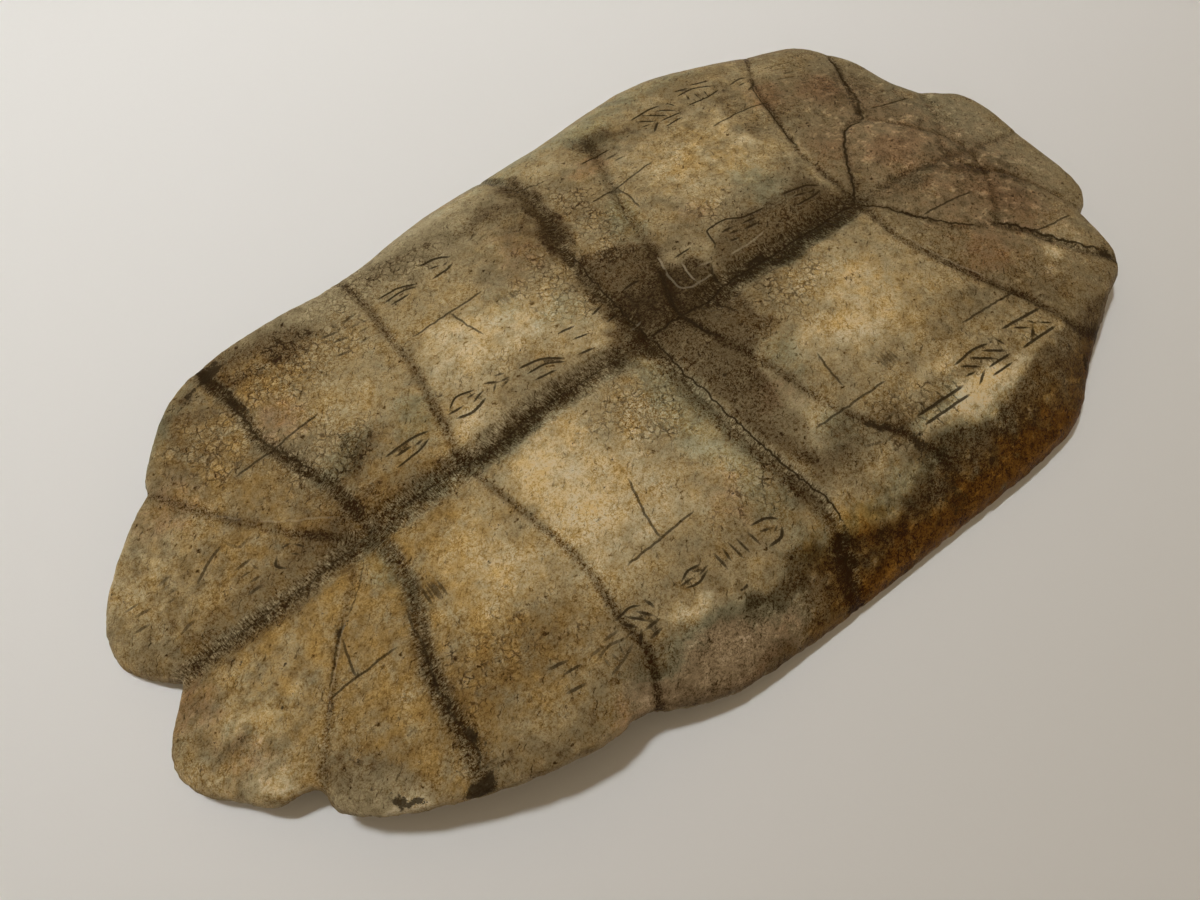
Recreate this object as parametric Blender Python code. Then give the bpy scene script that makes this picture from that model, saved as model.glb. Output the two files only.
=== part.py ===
"""Turtle plastron oracle bone: one shallow arched plate of bone, carved face up.

The plate lies along X with its head end at +X and its tail notch at -X. Its carved face
looks up (+Z), its bridges bend down along both long sides, and it rests at z = 0 on the
lower edges of the bridges and on its two tail points. Lengths are in millimetres until
the mesh is written.
"""

import math

import bmesh
import bpy
import numpy as np
from mathutils import Vector
from mathutils.geometry import delaunay_2d_cdt

MM = 0.001

# Thickness of the bone, and of its rim where the edge is worn round.
BONE_THICKNESS = 4.2
RIM_ROUNDING = 2.0
STEEPEST_THICKENING = 1.4

# Spacing of the mesh points along the rim, along the grooves and across the plates, and
# how far in from the rim the rings of points lie on the carved and on the inner face.
RIM_STEP = 2.9
GROOVE_STEP = 2.5
PLATE_STEP = 4.0
INNER_STEP = 8.0
CARVED_RINGS = (0.5, 2.0, 5.0)
INNER_RINGS = (0.4, 0.8, 1.8, 3.5, 6.5)
CLOSEST_POINTS = 0.38

# Depth to which the lowest edges are worn flat where the plate rests.
WORN_FLAT = 0.5

# Height of the carved face along the midline: (x, height), tail to head.
MIDLINE_HEIGHT = ((-8, 3.3), (0, 5.2), (35, 10.8), (60, 13.2), (100, 15.9), (130, 16.7),
                  (158, 15.9), (187, 12.0), (200, 8.9), (216, 5.0))

# Height of the carved face over the shoulders, SHOULDER_SIDE away from the midline.
SHOULDER_SIDE = 45.0
SHOULDER_HEIGHT = ((-8, 6.2), (10, 10.0), (35, 12.3), (60, 12.9), (100, 13.3), (130, 13.3),
                   (158, 12.5), (187, 9.6), (205, 6.7))
SHOULDER_POWER = 1.6
SHOULDER_LIMIT = 1.25

# How the face turns down at the edge, for each side: (x, reach inward, drop at the rim).
NEAR_TURN = ((-10, 4, 0.6), (30, 5, 1.2), (52, 6, 1.9), (64, 11, 5.0), (80, 15, 7.2),
             (150, 16, 7.5), (166, 13, 6.9), (178, 8, 5.0), (190, 5, 2.2), (204, 4, 0.8))
FAR_TURN = ((-10, 4, 0.6), (30, 5, 1.2), (58, 6, 1.8), (72, 10, 4.9), (88, 13, 7.2),
            (150, 14, 7.4), (166, 12, 6.4), (178, 9, 4.4), (190, 6, 2.0), (204, 4, 0.8))
NEAR_TURN_POWER = 1.6
FAR_TURN_POWER = 2.4

# The rim seen from above, each run of points a smooth curve and each run's end a corner.
TAIL_NOTCH = (0.0, 0.0)
NEAR_ANAL_LOBE = ((-2.2, -2.8), (-5.2, -6.4), (-7.0, -11.5), (-5.6, -17.0), (-1.2, -22.6),
                  (4.3, -28.0))
NEAR_CHIP = ((7.4, -28.6), (10.2, -29.4), (11.4, -31.0), (11.6, -34.4))
NEAR_REAR_LOBE = ((14.4, -37.8), (19.5, -41.4), (27.6, -45.6), (36.2, -49.0), (46.0, -51.8),
                  (52.6, -52.5), (57.6, -52.2))
NEAR_BRIDGE = ((63.0, -54.8), (70.0, -57.6), (78.0, -59.3), (95.0, -60.5), (125.0, -61.3),
               (150.0, -61.6), (162.0, -60.3), (169.0, -56.9), (176.0, -52.6), (184.0, -48.4))
NEAR_FRONT_LOBE = ((190.2, -45.2), (195.8, -43.2), (199.6, -40.6), (201.7, -36.6),
                   (203.1, -31.0))
FRONT_EDGE = ((204.2, -27.4), (208.0, -25.6), (211.2, -23.4), (213.4, -19.0), (214.6, -12.0),
              (215.4, -5.0), (216.4, 2.0), (217.0, 8.0), (216.4, 13.0), (213.8, 17.4),
              (209.4, 20.0))
FAR_FRONT_LOBE = ((205.0, 22.6), (202.4, 26.8), (201.2, 32.4), (200.6, 38.0), (199.2, 42.2),
                  (197.2, 45.6), (195.0, 49.4), (191.6, 53.0), (185.6, 56.0))
FAR_BRIDGE = ((176.0, 60.4), (167.0, 64.4), (157.0, 67.6), (146.0, 68.8), (133.0, 67.8),
              (120.0, 66.2), (108.0, 65.2), (97.0, 64.0), (86.0, 61.8), (76.0, 58.8), (66.0, 55.0))
FAR_REAR_LOBE = ((57.0, 52.8), (46.0, 52.4), (35.0, 51.8), (26.0, 49.8), (19.6, 46.0),
                 (14.6, 40.6), (11.4, 36.6))
FAR_NICK = ((10.9, 35.0), (10.2, 33.8))
FAR_ANAL_LOBE = ((6.0, 31.2), (-1.0, 25.0), (-6.2, 18.2), (-7.6, 12.2), (-6.0, 6.8),
                 (-2.6, 2.6))

# The lines on the carved face, each from the midline out: points, half width, depth,
# then how far round it the face sinks, and by how much.
MIDLINE = ((0, 0), (5, 0.4), (13, 0.2), (24, -0.1), (33, 0.4), (40, 0.8), (58, 0.6), (77, 1.4),
           (92, 0.8), (101.5, 0.2), (117, 0.2), (125.5, 1.2), (136, 0.6), (147, 0.6), (158.4, 0.9),
           (172, 1.2), (187, 0.3), (202, -0.4), (216, -0.2))
CROSS = (101.5, 0.2)
REAR_CROSS = (39.6, 0.8)
ENTOPLASTRON_TIP = (158.4, 0.9)
NEAR_MIDDLE_SEAM = (CROSS, (101.4, -8.8), (101.6, -18), (102.9, -29), (104.4, -38.5),
                    (105, -47), (103.2, -53), (101, -60.6))
FAR_MIDDLE_SEAM = (CROSS, (101.3, 7.5), (100.8, 16), (101.6, 26), (105.2, 39.5), (106.6, 47),
                   (105, 53), (102.4, 63.4))
NEAR_REAR_SEAM = (REAR_CROSS, (40.1, -8), (39.2, -14), (36, -22), (34, -30), (33.6, -38),
                  (31.4, -47.4))
FAR_REAR_SEAM = (REAR_CROSS, (38.5, 11.9), (35.7, 20), (32.4, 29.5), (32.4, 37), (30.6, 46),
                 (30, 51))
NEAR_FRONT_SEAM = ((180.4, -19), (184.8, -24.2), (189, -30), (193.5, -35.7), (199, -40.4))
FAR_FRONT_SEAM = ((180.6, 20.6), (185.4, 27.3), (189, 33), (192.6, 38.5), (196.6, 46.6))
ENTOPLASTRON = (ENTOPLASTRON_TIP, (162.9, -4.3), (167.5, -11.5), (172, -16.4), (177, -18.4),
                (181.5, -18.6), (186, -14.6), (190.4, -9.6), (194, -3.2), (195.2, 2), (193.2, 7.4),
                (189, 12.4), (184.4, 17.6), (180.4, 20.6), (175.6, 20.2), (171, 16.8),
                (166, 10.8), (161, 4.4), ENTOPLASTRON_TIP)
NEAR_THROAT_LINE = ((187, 0.3), (192.2, -6), (197.6, -10.8), (200.8, -17.2), (204.2, -27.4))
FAR_THROAT_LINE = ((187, 0.3), (191.9, 6.1), (198.4, 12), (205, 22.6))
NEAR_ARM_LINE = (ENTOPLASTRON_TIP, (158.2, -8.6), (160.2, -16.7), (163.8, -25), (168.4, -34),
                 (171.6, -41), (174.6, -47.6), (181.5, -49.6))
FAR_ARM_LINE = (ENTOPLASTRON_TIP, (159.3, 17.4), (162.5, 26.8), (167, 38), (171, 46.6),
                (179.4, 57.4))
NEAR_BREAST_LINE = ((109.3, 0.2), (111.7, -6.8), (115.4, -18), (118, -28.3), (121.4, -36.2),
                    (126.4, -44), (130, -52))
FAR_BREAST_LINE = ((109.3, 0.2), (114.3, 12.1), (117.4, 23), (119.4, 32), (123.4, 43), (127, 54))
NEAR_BELLY_LINE = ((59.2, 0.6), (62, -12.4), (64, -22), (64.7, -29), (63.8, -38), (64, -46),
                   (60.4, -52.8))
FAR_BELLY_LINE = ((59.2, 0.6), (61.2, 13), (63, 24), (63, 34), (63.2, 44), (62, 52.8))
NEAR_THIGH_LINE = ((37, 0.6), (31, -6.4), (26, -11.4), (20, -19.4), (14.6, -26.4), (11.4, -31.4))
FAR_THIGH_LINE = ((37, 0.6), (28, 9.9), (22, 17.3), (16, 25.4), (10.6, 33.8))

MIDLINE_TROUGH = (2.6, 0.6, 5.0, 0.35)
SEAM = (1.6, 0.4, 5.0, 0.4)
FINE_SEAM = (1.4, 0.35, 3.5, 0.3)
SCUTE_LINE = (1.3, 0.35, 3.5, 0.25)
FACE_LINES = (
    (MIDLINE, MIDLINE_TROUGH),
    (NEAR_MIDDLE_SEAM, SEAM), (FAR_MIDDLE_SEAM, SEAM),
    (NEAR_REAR_SEAM, SEAM), (FAR_REAR_SEAM, SEAM),
    (NEAR_FRONT_SEAM, FINE_SEAM), (FAR_FRONT_SEAM, FINE_SEAM), (ENTOPLASTRON, FINE_SEAM),
    (NEAR_THROAT_LINE, SCUTE_LINE), (FAR_THROAT_LINE, SCUTE_LINE),
    (NEAR_ARM_LINE, SCUTE_LINE), (FAR_ARM_LINE, SCUTE_LINE),
    (NEAR_BREAST_LINE, SCUTE_LINE), (FAR_BREAST_LINE, SCUTE_LINE),
    (NEAR_BELLY_LINE, SCUTE_LINE), (FAR_BELLY_LINE, SCUTE_LINE),
    (NEAR_THIGH_LINE, SCUTE_LINE), (FAR_THIGH_LINE, SCUTE_LINE),
)

# Grooves grow shallower this close to the rim, down to this share of their depth.
GROOVE_FADE = 2.5
GROOVE_AT_RIM = 0.35

SHARPEST_SMOOTH = 50.0
BONE_COLOUR = (0.42, 0.30, 0.14, 1.0)
BONE_ROUGHNESS = 0.5


def clear_scene():
    for obj in list(bpy.data.objects):
        bpy.data.objects.remove(obj, do_unlink=True)


def bone_material():
    material = bpy.data.materials.new("old bone")
    material.use_nodes = True
    shader = material.node_tree.nodes["Principled BSDF"]
    shader.inputs["Base Color"].default_value = BONE_COLOUR
    shader.inputs["Roughness"].default_value = BONE_ROUGHNESS
    shader.inputs["Metallic"].default_value = 0.0
    material.diffuse_color = BONE_COLOUR
    return material


def smooth_curve(points, step):
    """Points about a step apart on a smooth curve that passes through the given ones."""
    points = np.array(points, float)
    ends = np.vstack([2 * points[0] - points[1], points, 2 * points[-1] - points[-2]])
    curve = []
    for before, start, end, after in zip(ends, ends[1:], ends[2:], ends[3:]):
        count = max(1, round(np.linalg.norm(end - start) / step))
        for t in np.arange(count)[:, None] / count:
            curve.append(0.5 * (2 * start + (end - before) * t
                                + (2 * before - 5 * start + 4 * end - after) * t ** 2
                                + (3 * start - before - 3 * end + after) * t ** 3))
    return np.vstack(curve + [points[-1:]])


def along(stations, x, column=1):
    """A smooth value at each x, through the values that the stations give."""
    places = np.array([station[0] for station in stations], float)
    values = np.array([station[column] for station in stations], float)
    slopes = np.gradient(values, places)
    x = np.clip(x, places[0], places[-1])
    i = np.clip(np.searchsorted(places, x) - 1, 0, len(places) - 2)
    width = places[i + 1] - places[i]
    t = (x - places[i]) / width
    return (values[i] * (1 + 2 * t) * (1 - t) ** 2 + values[i + 1] * t ** 2 * (3 - 2 * t)
            + width * slopes[i] * t * (1 - t) ** 2 - width * slopes[i + 1] * t ** 2 * (1 - t))


def distance_to(line, x, y):
    """The distance from each point to the nearest stretch of a line."""
    points = np.stack([x, y], axis=-1)[:, None, :]
    start = line[None, :-1]
    run = line[None, 1:] - start
    t = ((points - start) * run).sum(-1) / np.maximum((run ** 2).sum(-1), 1e-9)
    nearest = start + np.clip(t, 0, 1)[..., None] * run
    return np.sqrt(((points - nearest) ** 2).sum(-1)).min(1)


def rim_curve():
    """The closed rim, anticlockwise from the tail notch as seen from above."""
    corners = (TAIL_NOTCH,) + NEAR_ANAL_LOBE, NEAR_CHIP, NEAR_REAR_LOBE, NEAR_BRIDGE, \
        NEAR_FRONT_LOBE, FRONT_EDGE, FAR_FRONT_LOBE, FAR_BRIDGE, FAR_REAR_LOBE, FAR_NICK, \
        FAR_ANAL_LOBE
    runs = []
    for run, following in zip(corners, corners[1:] + ((TAIL_NOTCH,),)):
        runs.append(smooth_curve(run + (following[0],), RIM_STEP)[:-1])
    return np.vstack(runs)


RIM = rim_curve()
CLOSED_RIM = np.vstack([RIM, RIM[:1]])
CURVES = [(smooth_curve(points, GROOVE_STEP), size) for points, size in FACE_LINES]


def plate_height(x, y):
    """The broad form of the carved face: arched along X, bent down at both sides."""
    middle = along(MIDLINE_HEIGHT, x)
    shoulder = along(SHOULDER_HEIGHT, x)
    side = np.minimum(np.abs(y) / SHOULDER_SIDE, SHOULDER_LIMIT) ** SHOULDER_POWER
    height = middle + (shoulder - middle) * side
    inward = distance_to(CLOSED_RIM, x, y)
    for turn, power, here in ((NEAR_TURN, NEAR_TURN_POWER, y < 0), (FAR_TURN, FAR_TURN_POWER, y >= 0)):
        reach = along(turn, x, 1)
        drop = along(turn, x, 2)
        height = height - here * drop * np.clip(1 - inward / reach, 0, 1) ** power
    return height


def carved_height(x, y):
    """The carved face: the broad form with its seams and scute lines sunk into it."""
    height = plate_height(x, y)
    groove = np.zeros_like(height)
    hollow = np.zeros_like(height)
    for curve, (half_width, depth, reach, sink) in CURVES:
        away = distance_to(curve, x, y)
        groove = np.maximum(groove, depth * np.clip(1 - away / half_width, 0, 1))
        hollow = np.maximum(hollow, sink * np.exp(-(away / reach) ** 2))
    inward = distance_to(CLOSED_RIM, x, y)
    return height - (groove + hollow) * np.clip(inward / GROOVE_FADE, GROOVE_AT_RIM, 1)


def thickness(x, y):
    """Upright thickness, more where the face is steep so that the wall stays even."""
    away = 0.5
    slope_x = (plate_height(x + away, y) - plate_height(x - away, y)) / (2 * away)
    slope_y = (plate_height(x, y + away) - plate_height(x, y - away)) / (2 * away)
    return BONE_THICKNESS * np.minimum(np.sqrt(1 + slope_x ** 2 + slope_y ** 2), STEEPEST_THICKENING)


def rounded(inward):
    """How far the worn rim has turned, from 1 at the edge to 0 inside it."""
    t = np.clip(1 - inward / RIM_ROUNDING, 0, 1)
    return 1 - np.sqrt(1 - t ** 2)


def inset_points(distance):
    """Points at one distance inside the rim, left out where the rim doubles back."""
    after = np.roll(RIM, -1, axis=0)
    before = np.roll(RIM, 1, axis=0)
    along_rim = (after - before) / np.linalg.norm(after - before, axis=1, keepdims=True)
    inward = RIM + distance * np.stack([-along_rim[:, 1], along_rim[:, 0]], axis=1)
    clear = distance_to(CLOSED_RIM, inward[:, 0], inward[:, 1]) > 0.93 * distance
    return inward[clear]


def inside_rim(points):
    x, y = points[:, 0], points[:, 1]
    inside = np.zeros(len(points), bool)
    for (x0, y0), (x1, y1) in zip(CLOSED_RIM, CLOSED_RIM[1:]):
        crosses = (y0 > y) != (y1 > y)
        if y1 != y0:
            inside ^= crosses & (x < (x1 - x0) * (y - y0) / (y1 - y0) + x0)
    return inside


def lattice(step):
    """Points in even staggered rows over the plate's box."""
    low, high = RIM.min(0), RIM.max(0)
    rows = []
    for i, y in enumerate(np.arange(low[1], high[1], step * math.sqrt(3) / 2)):
        x = np.arange(low[0] + step * (i % 2) / 2, high[0], step)
        rows.append(np.stack([x, np.full(len(x), y)], axis=1))
    return np.vstack(rows)


def beside(curve, offset):
    """The two lines at an offset to each side of a curve."""
    along_curve = np.gradient(curve, axis=0)
    along_curve /= np.linalg.norm(along_curve, axis=1, keepdims=True)
    across = np.stack([-along_curve[:, 1], along_curve[:, 0]], axis=1)
    return curve + offset * across, curve - offset * across


def spread_out(kept, points, gap):
    """The kept points, then each further one that lies at least a gap away from all chosen."""
    chosen = list(kept)
    for point in points:
        if not chosen or (np.hypot(*(np.array(chosen) - point).T) >= gap).all():
            chosen.append(point)
    return np.array(chosen)


def well_inside(points, margin):
    return points[inside_rim(points) & (distance_to(CLOSED_RIM, *points.T) > margin)]


def carved_face_points():
    """Where the carved face has its points: rim rings, grooves, then the plates."""
    rings = np.vstack([inset_points(distance) for distance in CARVED_RINGS])
    points = spread_out([], rings, CLOSEST_POINTS)
    lines = []
    for curve, (half_width, _, _, _) in CURVES:
        lines.extend((curve, *beside(curve, half_width)))
    points = spread_out(points, well_inside(np.vstack(lines), 1.0), 0.5 * GROOVE_STEP)
    return spread_out(points, well_inside(lattice(PLATE_STEP), 3.0), 0.62 * PLATE_STEP)


def inner_face_points():
    """Where the plain inner face has its points."""
    rings = np.vstack([inset_points(distance) for distance in INNER_RINGS[:-1]])
    points = spread_out([], rings, CLOSEST_POINTS)
    points = spread_out(points, inset_points(INNER_RINGS[-1]), 1.5 * RIM_STEP)
    return spread_out(points, well_inside(lattice(INNER_STEP), 8.0), 0.6 * INNER_STEP)


def triangles_over(points):
    """Triangles that fill the rim through the rim's own points and the given ones."""
    everything = [Vector(point) for point in np.vstack([RIM, points])]
    edges = [(i, (i + 1) % len(RIM)) for i in range(len(RIM))]
    _, _, faces, came_from, _, _ = delaunay_2d_cdt(everything, edges, [], 1, 1e-6)
    return [tuple(came_from[i][0] for i in face) for face in faces]


def build_plastron():
    """One closed mesh: the carved face above, the inner face below, joined at the rim."""
    rim_z = plate_height(*RIM.T) - thickness(*RIM.T) / 2
    upper = carved_face_points()
    worn = rounded(distance_to(CLOSED_RIM, *upper.T)) * thickness(*upper.T) / 2
    upper_z = carved_height(*upper.T) - worn
    lower = inner_face_points()
    worn = rounded(distance_to(CLOSED_RIM, *lower.T)) * thickness(*lower.T) / 2
    lower_z = plate_height(*lower.T) - thickness(*lower.T) + worn
    floor = lower_z.min() + WORN_FLAT
    lower_z = np.maximum(lower_z, floor)

    places = np.vstack([RIM, upper, lower]) - (RIM.min(0) + RIM.max(0)) / 2
    heights = np.concatenate([rim_z, upper_z, lower_z]) - floor
    mesh = bmesh.new()
    vertices = [mesh.verts.new((x * MM, y * MM, z * MM)) for (x, y), z in zip(places, heights)]
    for corners in triangles_over(upper):
        mesh.faces.new([vertices[i] for i in corners])
    for corners in triangles_over(lower):
        mesh.faces.new([vertices[i if i < len(RIM) else i + len(upper)] for i in corners[::-1]])
    data = bpy.data.meshes.new("plastron")
    mesh.to_mesh(data)
    mesh.free()
    data.shade_smooth()
    data.set_sharp_from_angle(angle=math.radians(SHARPEST_SMOOTH))
    data.materials.append(bone_material())
    plastron = bpy.data.objects.new("plastron", data)
    bpy.context.scene.collection.objects.link(plastron)


clear_scene()
build_plastron()
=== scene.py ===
"""Looks of an old turtle plastron used as an oracle bone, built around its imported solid.

The plate's plan sizes and heights are the solid's own, in millimetres, with x running from
the tail notch to the head. Marks and stains are placed in millimetres from the middle of
the plate's box, as it stands in the frame.
"""

import math
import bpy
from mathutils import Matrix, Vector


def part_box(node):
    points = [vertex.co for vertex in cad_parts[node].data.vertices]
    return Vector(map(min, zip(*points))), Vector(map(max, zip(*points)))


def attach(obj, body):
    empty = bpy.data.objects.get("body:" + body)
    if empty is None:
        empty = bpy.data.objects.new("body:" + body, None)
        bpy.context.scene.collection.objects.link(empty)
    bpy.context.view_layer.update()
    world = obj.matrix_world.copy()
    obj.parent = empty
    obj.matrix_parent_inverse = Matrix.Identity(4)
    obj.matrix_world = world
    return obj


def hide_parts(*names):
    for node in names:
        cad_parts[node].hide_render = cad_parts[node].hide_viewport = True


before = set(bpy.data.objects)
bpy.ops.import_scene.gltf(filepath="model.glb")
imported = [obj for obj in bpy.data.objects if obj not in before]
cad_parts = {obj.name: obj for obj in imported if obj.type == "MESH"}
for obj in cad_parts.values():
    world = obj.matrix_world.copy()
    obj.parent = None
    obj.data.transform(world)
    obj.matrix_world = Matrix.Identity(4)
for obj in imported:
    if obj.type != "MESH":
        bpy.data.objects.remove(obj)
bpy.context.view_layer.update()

from types import SimpleNamespace

import bpy
import numpy as np
from bpy.props import FloatProperty, FloatVectorProperty, IntProperty, PointerProperty
from mathutils import Vector, kdtree
from mathutils.geometry import delaunay_2d_cdt

bl_info = {
    "name": "Oracle bone plate",
    "version": (1, 0, 0),
    "blender": (4, 5, 0),
    "location": "3D Viewport > Sidebar > Oracle bone",
    "description": "Builds a carved, cracked and stained turtle plastron on a pale table",
    "category": "Object",
}

MM = 0.001
MM_PER_METRE = 1000

# ---------------------------------------------------------------- the plate's own sizes

# Where the tail notch stands from the middle of the plate's box, and how far the broad
# form is lifted so that the plate rests at z = 0.
NOTCH = (-104.70, -3.57)
LIFT = 0.33

BONE_THICKNESS = 4.2
RIM_ROUNDING = 2.0
STEEPEST_THICKENING = 1.4
SLOPE_STEP = 0.5

# Heights along the plate: how far along, and the height there. Turns of the bridges: how far
# along, how far in from the rim the bend reaches, and how far it drops at the rim.
MIDLINE_HEIGHT = ((-8, 3.3), (0, 5.2), (35, 10.8), (60, 13.2), (100, 15.9), (130, 16.7),
                  (158, 15.9), (187, 12.0), (200, 8.9), (216, 5.0))
SHOULDER_SIDE = 45.0
SHOULDER_HEIGHT = ((-8, 6.2), (10, 10.0), (35, 12.3), (60, 12.9), (100, 13.3), (130, 13.3),
                   (158, 12.5), (187, 9.6), (205, 6.7))
SHOULDER_POWER = 1.6
SHOULDER_LIMIT = 1.25
NEAR_TURN = ((-10, 4, 0.6), (30, 5, 1.2), (52, 6, 1.9), (64, 11, 5.0), (80, 15, 7.2),
             (150, 16, 7.5), (166, 13, 6.9), (178, 8, 5.0), (190, 5, 2.2), (204, 4, 0.8))
FAR_TURN = ((-10, 4, 0.6), (30, 5, 1.2), (58, 6, 1.8), (72, 10, 4.9), (88, 13, 7.2),
            (150, 14, 7.4), (166, 12, 6.4), (178, 9, 4.4), (190, 6, 2.0), (204, 4, 0.8))
NEAR_TURN_POWER = 1.6
FAR_TURN_POWER = 2.4

# How far in from the rim the bridges' turn can reach.
INWARD_REACH = 18.0

# The rim seen from above, anticlockwise, each run smooth and each run's end a corner.
RIM_RUNS = (
    # tail notch and near anal lobe
    ((0.0, 0.0), (-2.2, -2.8), (-5.2, -6.4), (-7.0, -11.5), (-5.6, -17.0), (-1.2, -22.6),
     (4.3, -28.0)),
    # near chip
    ((7.4, -28.6), (10.2, -29.4), (11.4, -31.0), (11.6, -34.4)),
    # near rear lobe
    ((14.4, -37.8), (19.5, -41.4), (27.6, -45.6), (36.2, -49.0), (46.0, -51.8), (52.6, -52.5),
     (57.6, -52.2)),
    # near bridge
    ((63.0, -54.8), (70.0, -57.6), (78.0, -59.3), (95.0, -60.5), (125.0, -61.3),
     (150.0, -61.6), (162.0, -60.3), (169.0, -56.9), (176.0, -52.6), (184.0, -48.4)),
    # near front lobe
    ((190.2, -45.2), (195.8, -43.2), (199.6, -40.6), (201.7, -36.6), (203.1, -31.0)),
    # front edge
    ((204.2, -27.4), (208.0, -25.6), (211.2, -23.4), (213.4, -19.0), (214.6, -12.0),
     (215.4, -5.0), (216.4, 2.0), (217.0, 8.0), (216.4, 13.0), (213.8, 17.4), (209.4, 20.0)),
    # far front lobe
    ((205.0, 22.6), (202.4, 26.8), (201.2, 32.4), (200.6, 38.0), (199.2, 42.2), (197.2, 45.6),
     (195.0, 49.4), (191.6, 53.0), (185.6, 56.0)),
    # far bridge
    ((176.0, 60.4), (167.0, 64.4), (157.0, 67.6), (146.0, 68.8), (133.0, 67.8), (120.0, 66.2),
     (108.0, 65.2), (97.0, 64.0), (86.0, 61.8), (76.0, 58.8), (66.0, 55.0)),
    # far rear lobe
    ((57.0, 52.8), (46.0, 52.4), (35.0, 51.8), (26.0, 49.8), (19.6, 46.0), (14.6, 40.6),
     (11.4, 36.6)),
    # far nick
    ((10.9, 35.0), (10.2, 33.8)),
    # far anal lobe
    ((6.0, 31.2), (-1.0, 25.0), (-6.2, 18.2), (-7.6, 12.2), (-6.0, 6.8), (-2.6, 2.6)),
)

# The lines on the carved face, each from the midline out.
MIDLINE = ((0, 0), (5, 0.4), (13, 0.2), (24, -0.1), (33, 0.4), (40, 0.8), (58, 0.6), (77, 1.4),
           (92, 0.8), (101.5, 0.2), (117, 0.2), (125.5, 1.2), (136, 0.6), (147, 0.6),
           (158.4, 0.9), (172, 1.2), (187, 0.3), (202, -0.4), (216, -0.2))
CROSS = (101.5, 0.2)
REAR_CROSS = (39.6, 0.8)
ENTOPLASTRON_TIP = (158.4, 0.9)
NEAR_MIDDLE_SEAM = (CROSS, (101.4, -8.8), (101.6, -18), (102.9, -29), (104.4, -38.5),
                    (105, -47), (103.2, -53), (101, -60.6))
FAR_MIDDLE_SEAM = (CROSS, (101.3, 7.5), (100.8, 16), (101.6, 26), (105.2, 39.5), (106.6, 47),
                   (105, 53), (102.4, 63.4))
NEAR_REAR_SEAM = (REAR_CROSS, (40.1, -8), (39.2, -14), (36, -22), (34, -30), (33.6, -38),
                  (31.4, -47.4))
FAR_REAR_SEAM = (REAR_CROSS, (38.5, 11.9), (35.7, 20), (32.4, 29.5), (32.4, 37), (30.6, 46),
                 (30, 51))
NEAR_FRONT_SEAM = ((180.4, -19), (184.8, -24.2), (189, -30), (193.5, -35.7), (199, -40.4))
FAR_FRONT_SEAM = ((180.6, 20.6), (185.4, 27.3), (189, 33), (192.6, 38.5), (196.6, 46.6))
ENTOPLASTRON = (ENTOPLASTRON_TIP, (162.9, -4.3), (167.5, -11.5), (172, -16.4), (177, -18.4),
                (181.5, -18.6), (186, -14.6), (190.4, -9.6), (194, -3.2), (195.2, 2), (193.2, 7.4),
                (189, 12.4), (184.4, 17.6), (180.4, 20.6), (175.6, 20.2), (171, 16.8),
                (166, 10.8), (161, 4.4), ENTOPLASTRON_TIP)
NEAR_THROAT_LINE = ((187, 0.3), (192.2, -6), (197.6, -10.8), (200.8, -17.2), (204.2, -27.4))
FAR_THROAT_LINE = ((187, 0.3), (191.9, 6.1), (198.4, 12), (205, 22.6))
NEAR_ARM_LINE = (ENTOPLASTRON_TIP, (158.2, -8.6), (160.2, -16.7), (163.8, -25), (168.4, -34),
                 (171.6, -41), (174.6, -47.6), (181.5, -49.6))
FAR_ARM_LINE = (ENTOPLASTRON_TIP, (159.3, 17.4), (162.5, 26.8), (167, 38), (171, 46.6),
                (179.4, 57.4))
NEAR_BREAST_LINE = ((109.3, 0.2), (111.7, -6.8), (115.4, -18), (118, -28.3), (121.4, -36.2),
                    (126.4, -44), (130, -52))
FAR_BREAST_LINE = ((109.3, 0.2), (114.3, 12.1), (117.4, 23), (119.4, 32), (123.4, 43), (127, 54))
NEAR_BELLY_LINE = ((59.2, 0.6), (62, -12.4), (64, -22), (64.7, -29), (63.8, -38), (64, -46),
                   (60.4, -52.8))
FAR_BELLY_LINE = ((59.2, 0.6), (61.2, 13), (63, 24), (63, 34), (63.2, 44), (62, 52.8))
NEAR_THIGH_LINE = ((37, 0.6), (31, -6.4), (26, -11.4), (20, -19.4), (14.6, -26.4), (11.4, -31.4))
FAR_THIGH_LINE = ((37, 0.6), (28, 9.9), (22, 17.3), (16, 25.4), (10.6, 33.8))

# How each kind of line is sunk: half width, depth, reach of its hollow, depth of that.
MIDLINE_TROUGH = (2.9, 0.5, 5.0, 0.35)
SEAM = (1.2, 0.22, 5.0, 0.4)
FINE_SEAM = (1.2, 0.25, 3.5, 0.3)
SCUTE_LINE = (1.1, 0.26, 3.5, 0.25)

# Where the trough's wall ends and how wide it is, as shares of the trough's half width.
TROUGH_EDGE = 1.2
TROUGH_WALL = 0.4

# Grooves grow shallower this close to the rim, down to this share of their depth.
GROOVE_FADE = 2.5
GROOVE_AT_RIM = 0.35

TAIL_MIDLINE = MIDLINE[:5]
REAR_MIDLINE = MIDLINE[4:9]
CROSS_MIDLINE = MIDLINE[8:11]
FRONT_MIDLINE = MIDLINE[10:15]
HEAD_MIDLINE = MIDLINE[14:]

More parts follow.
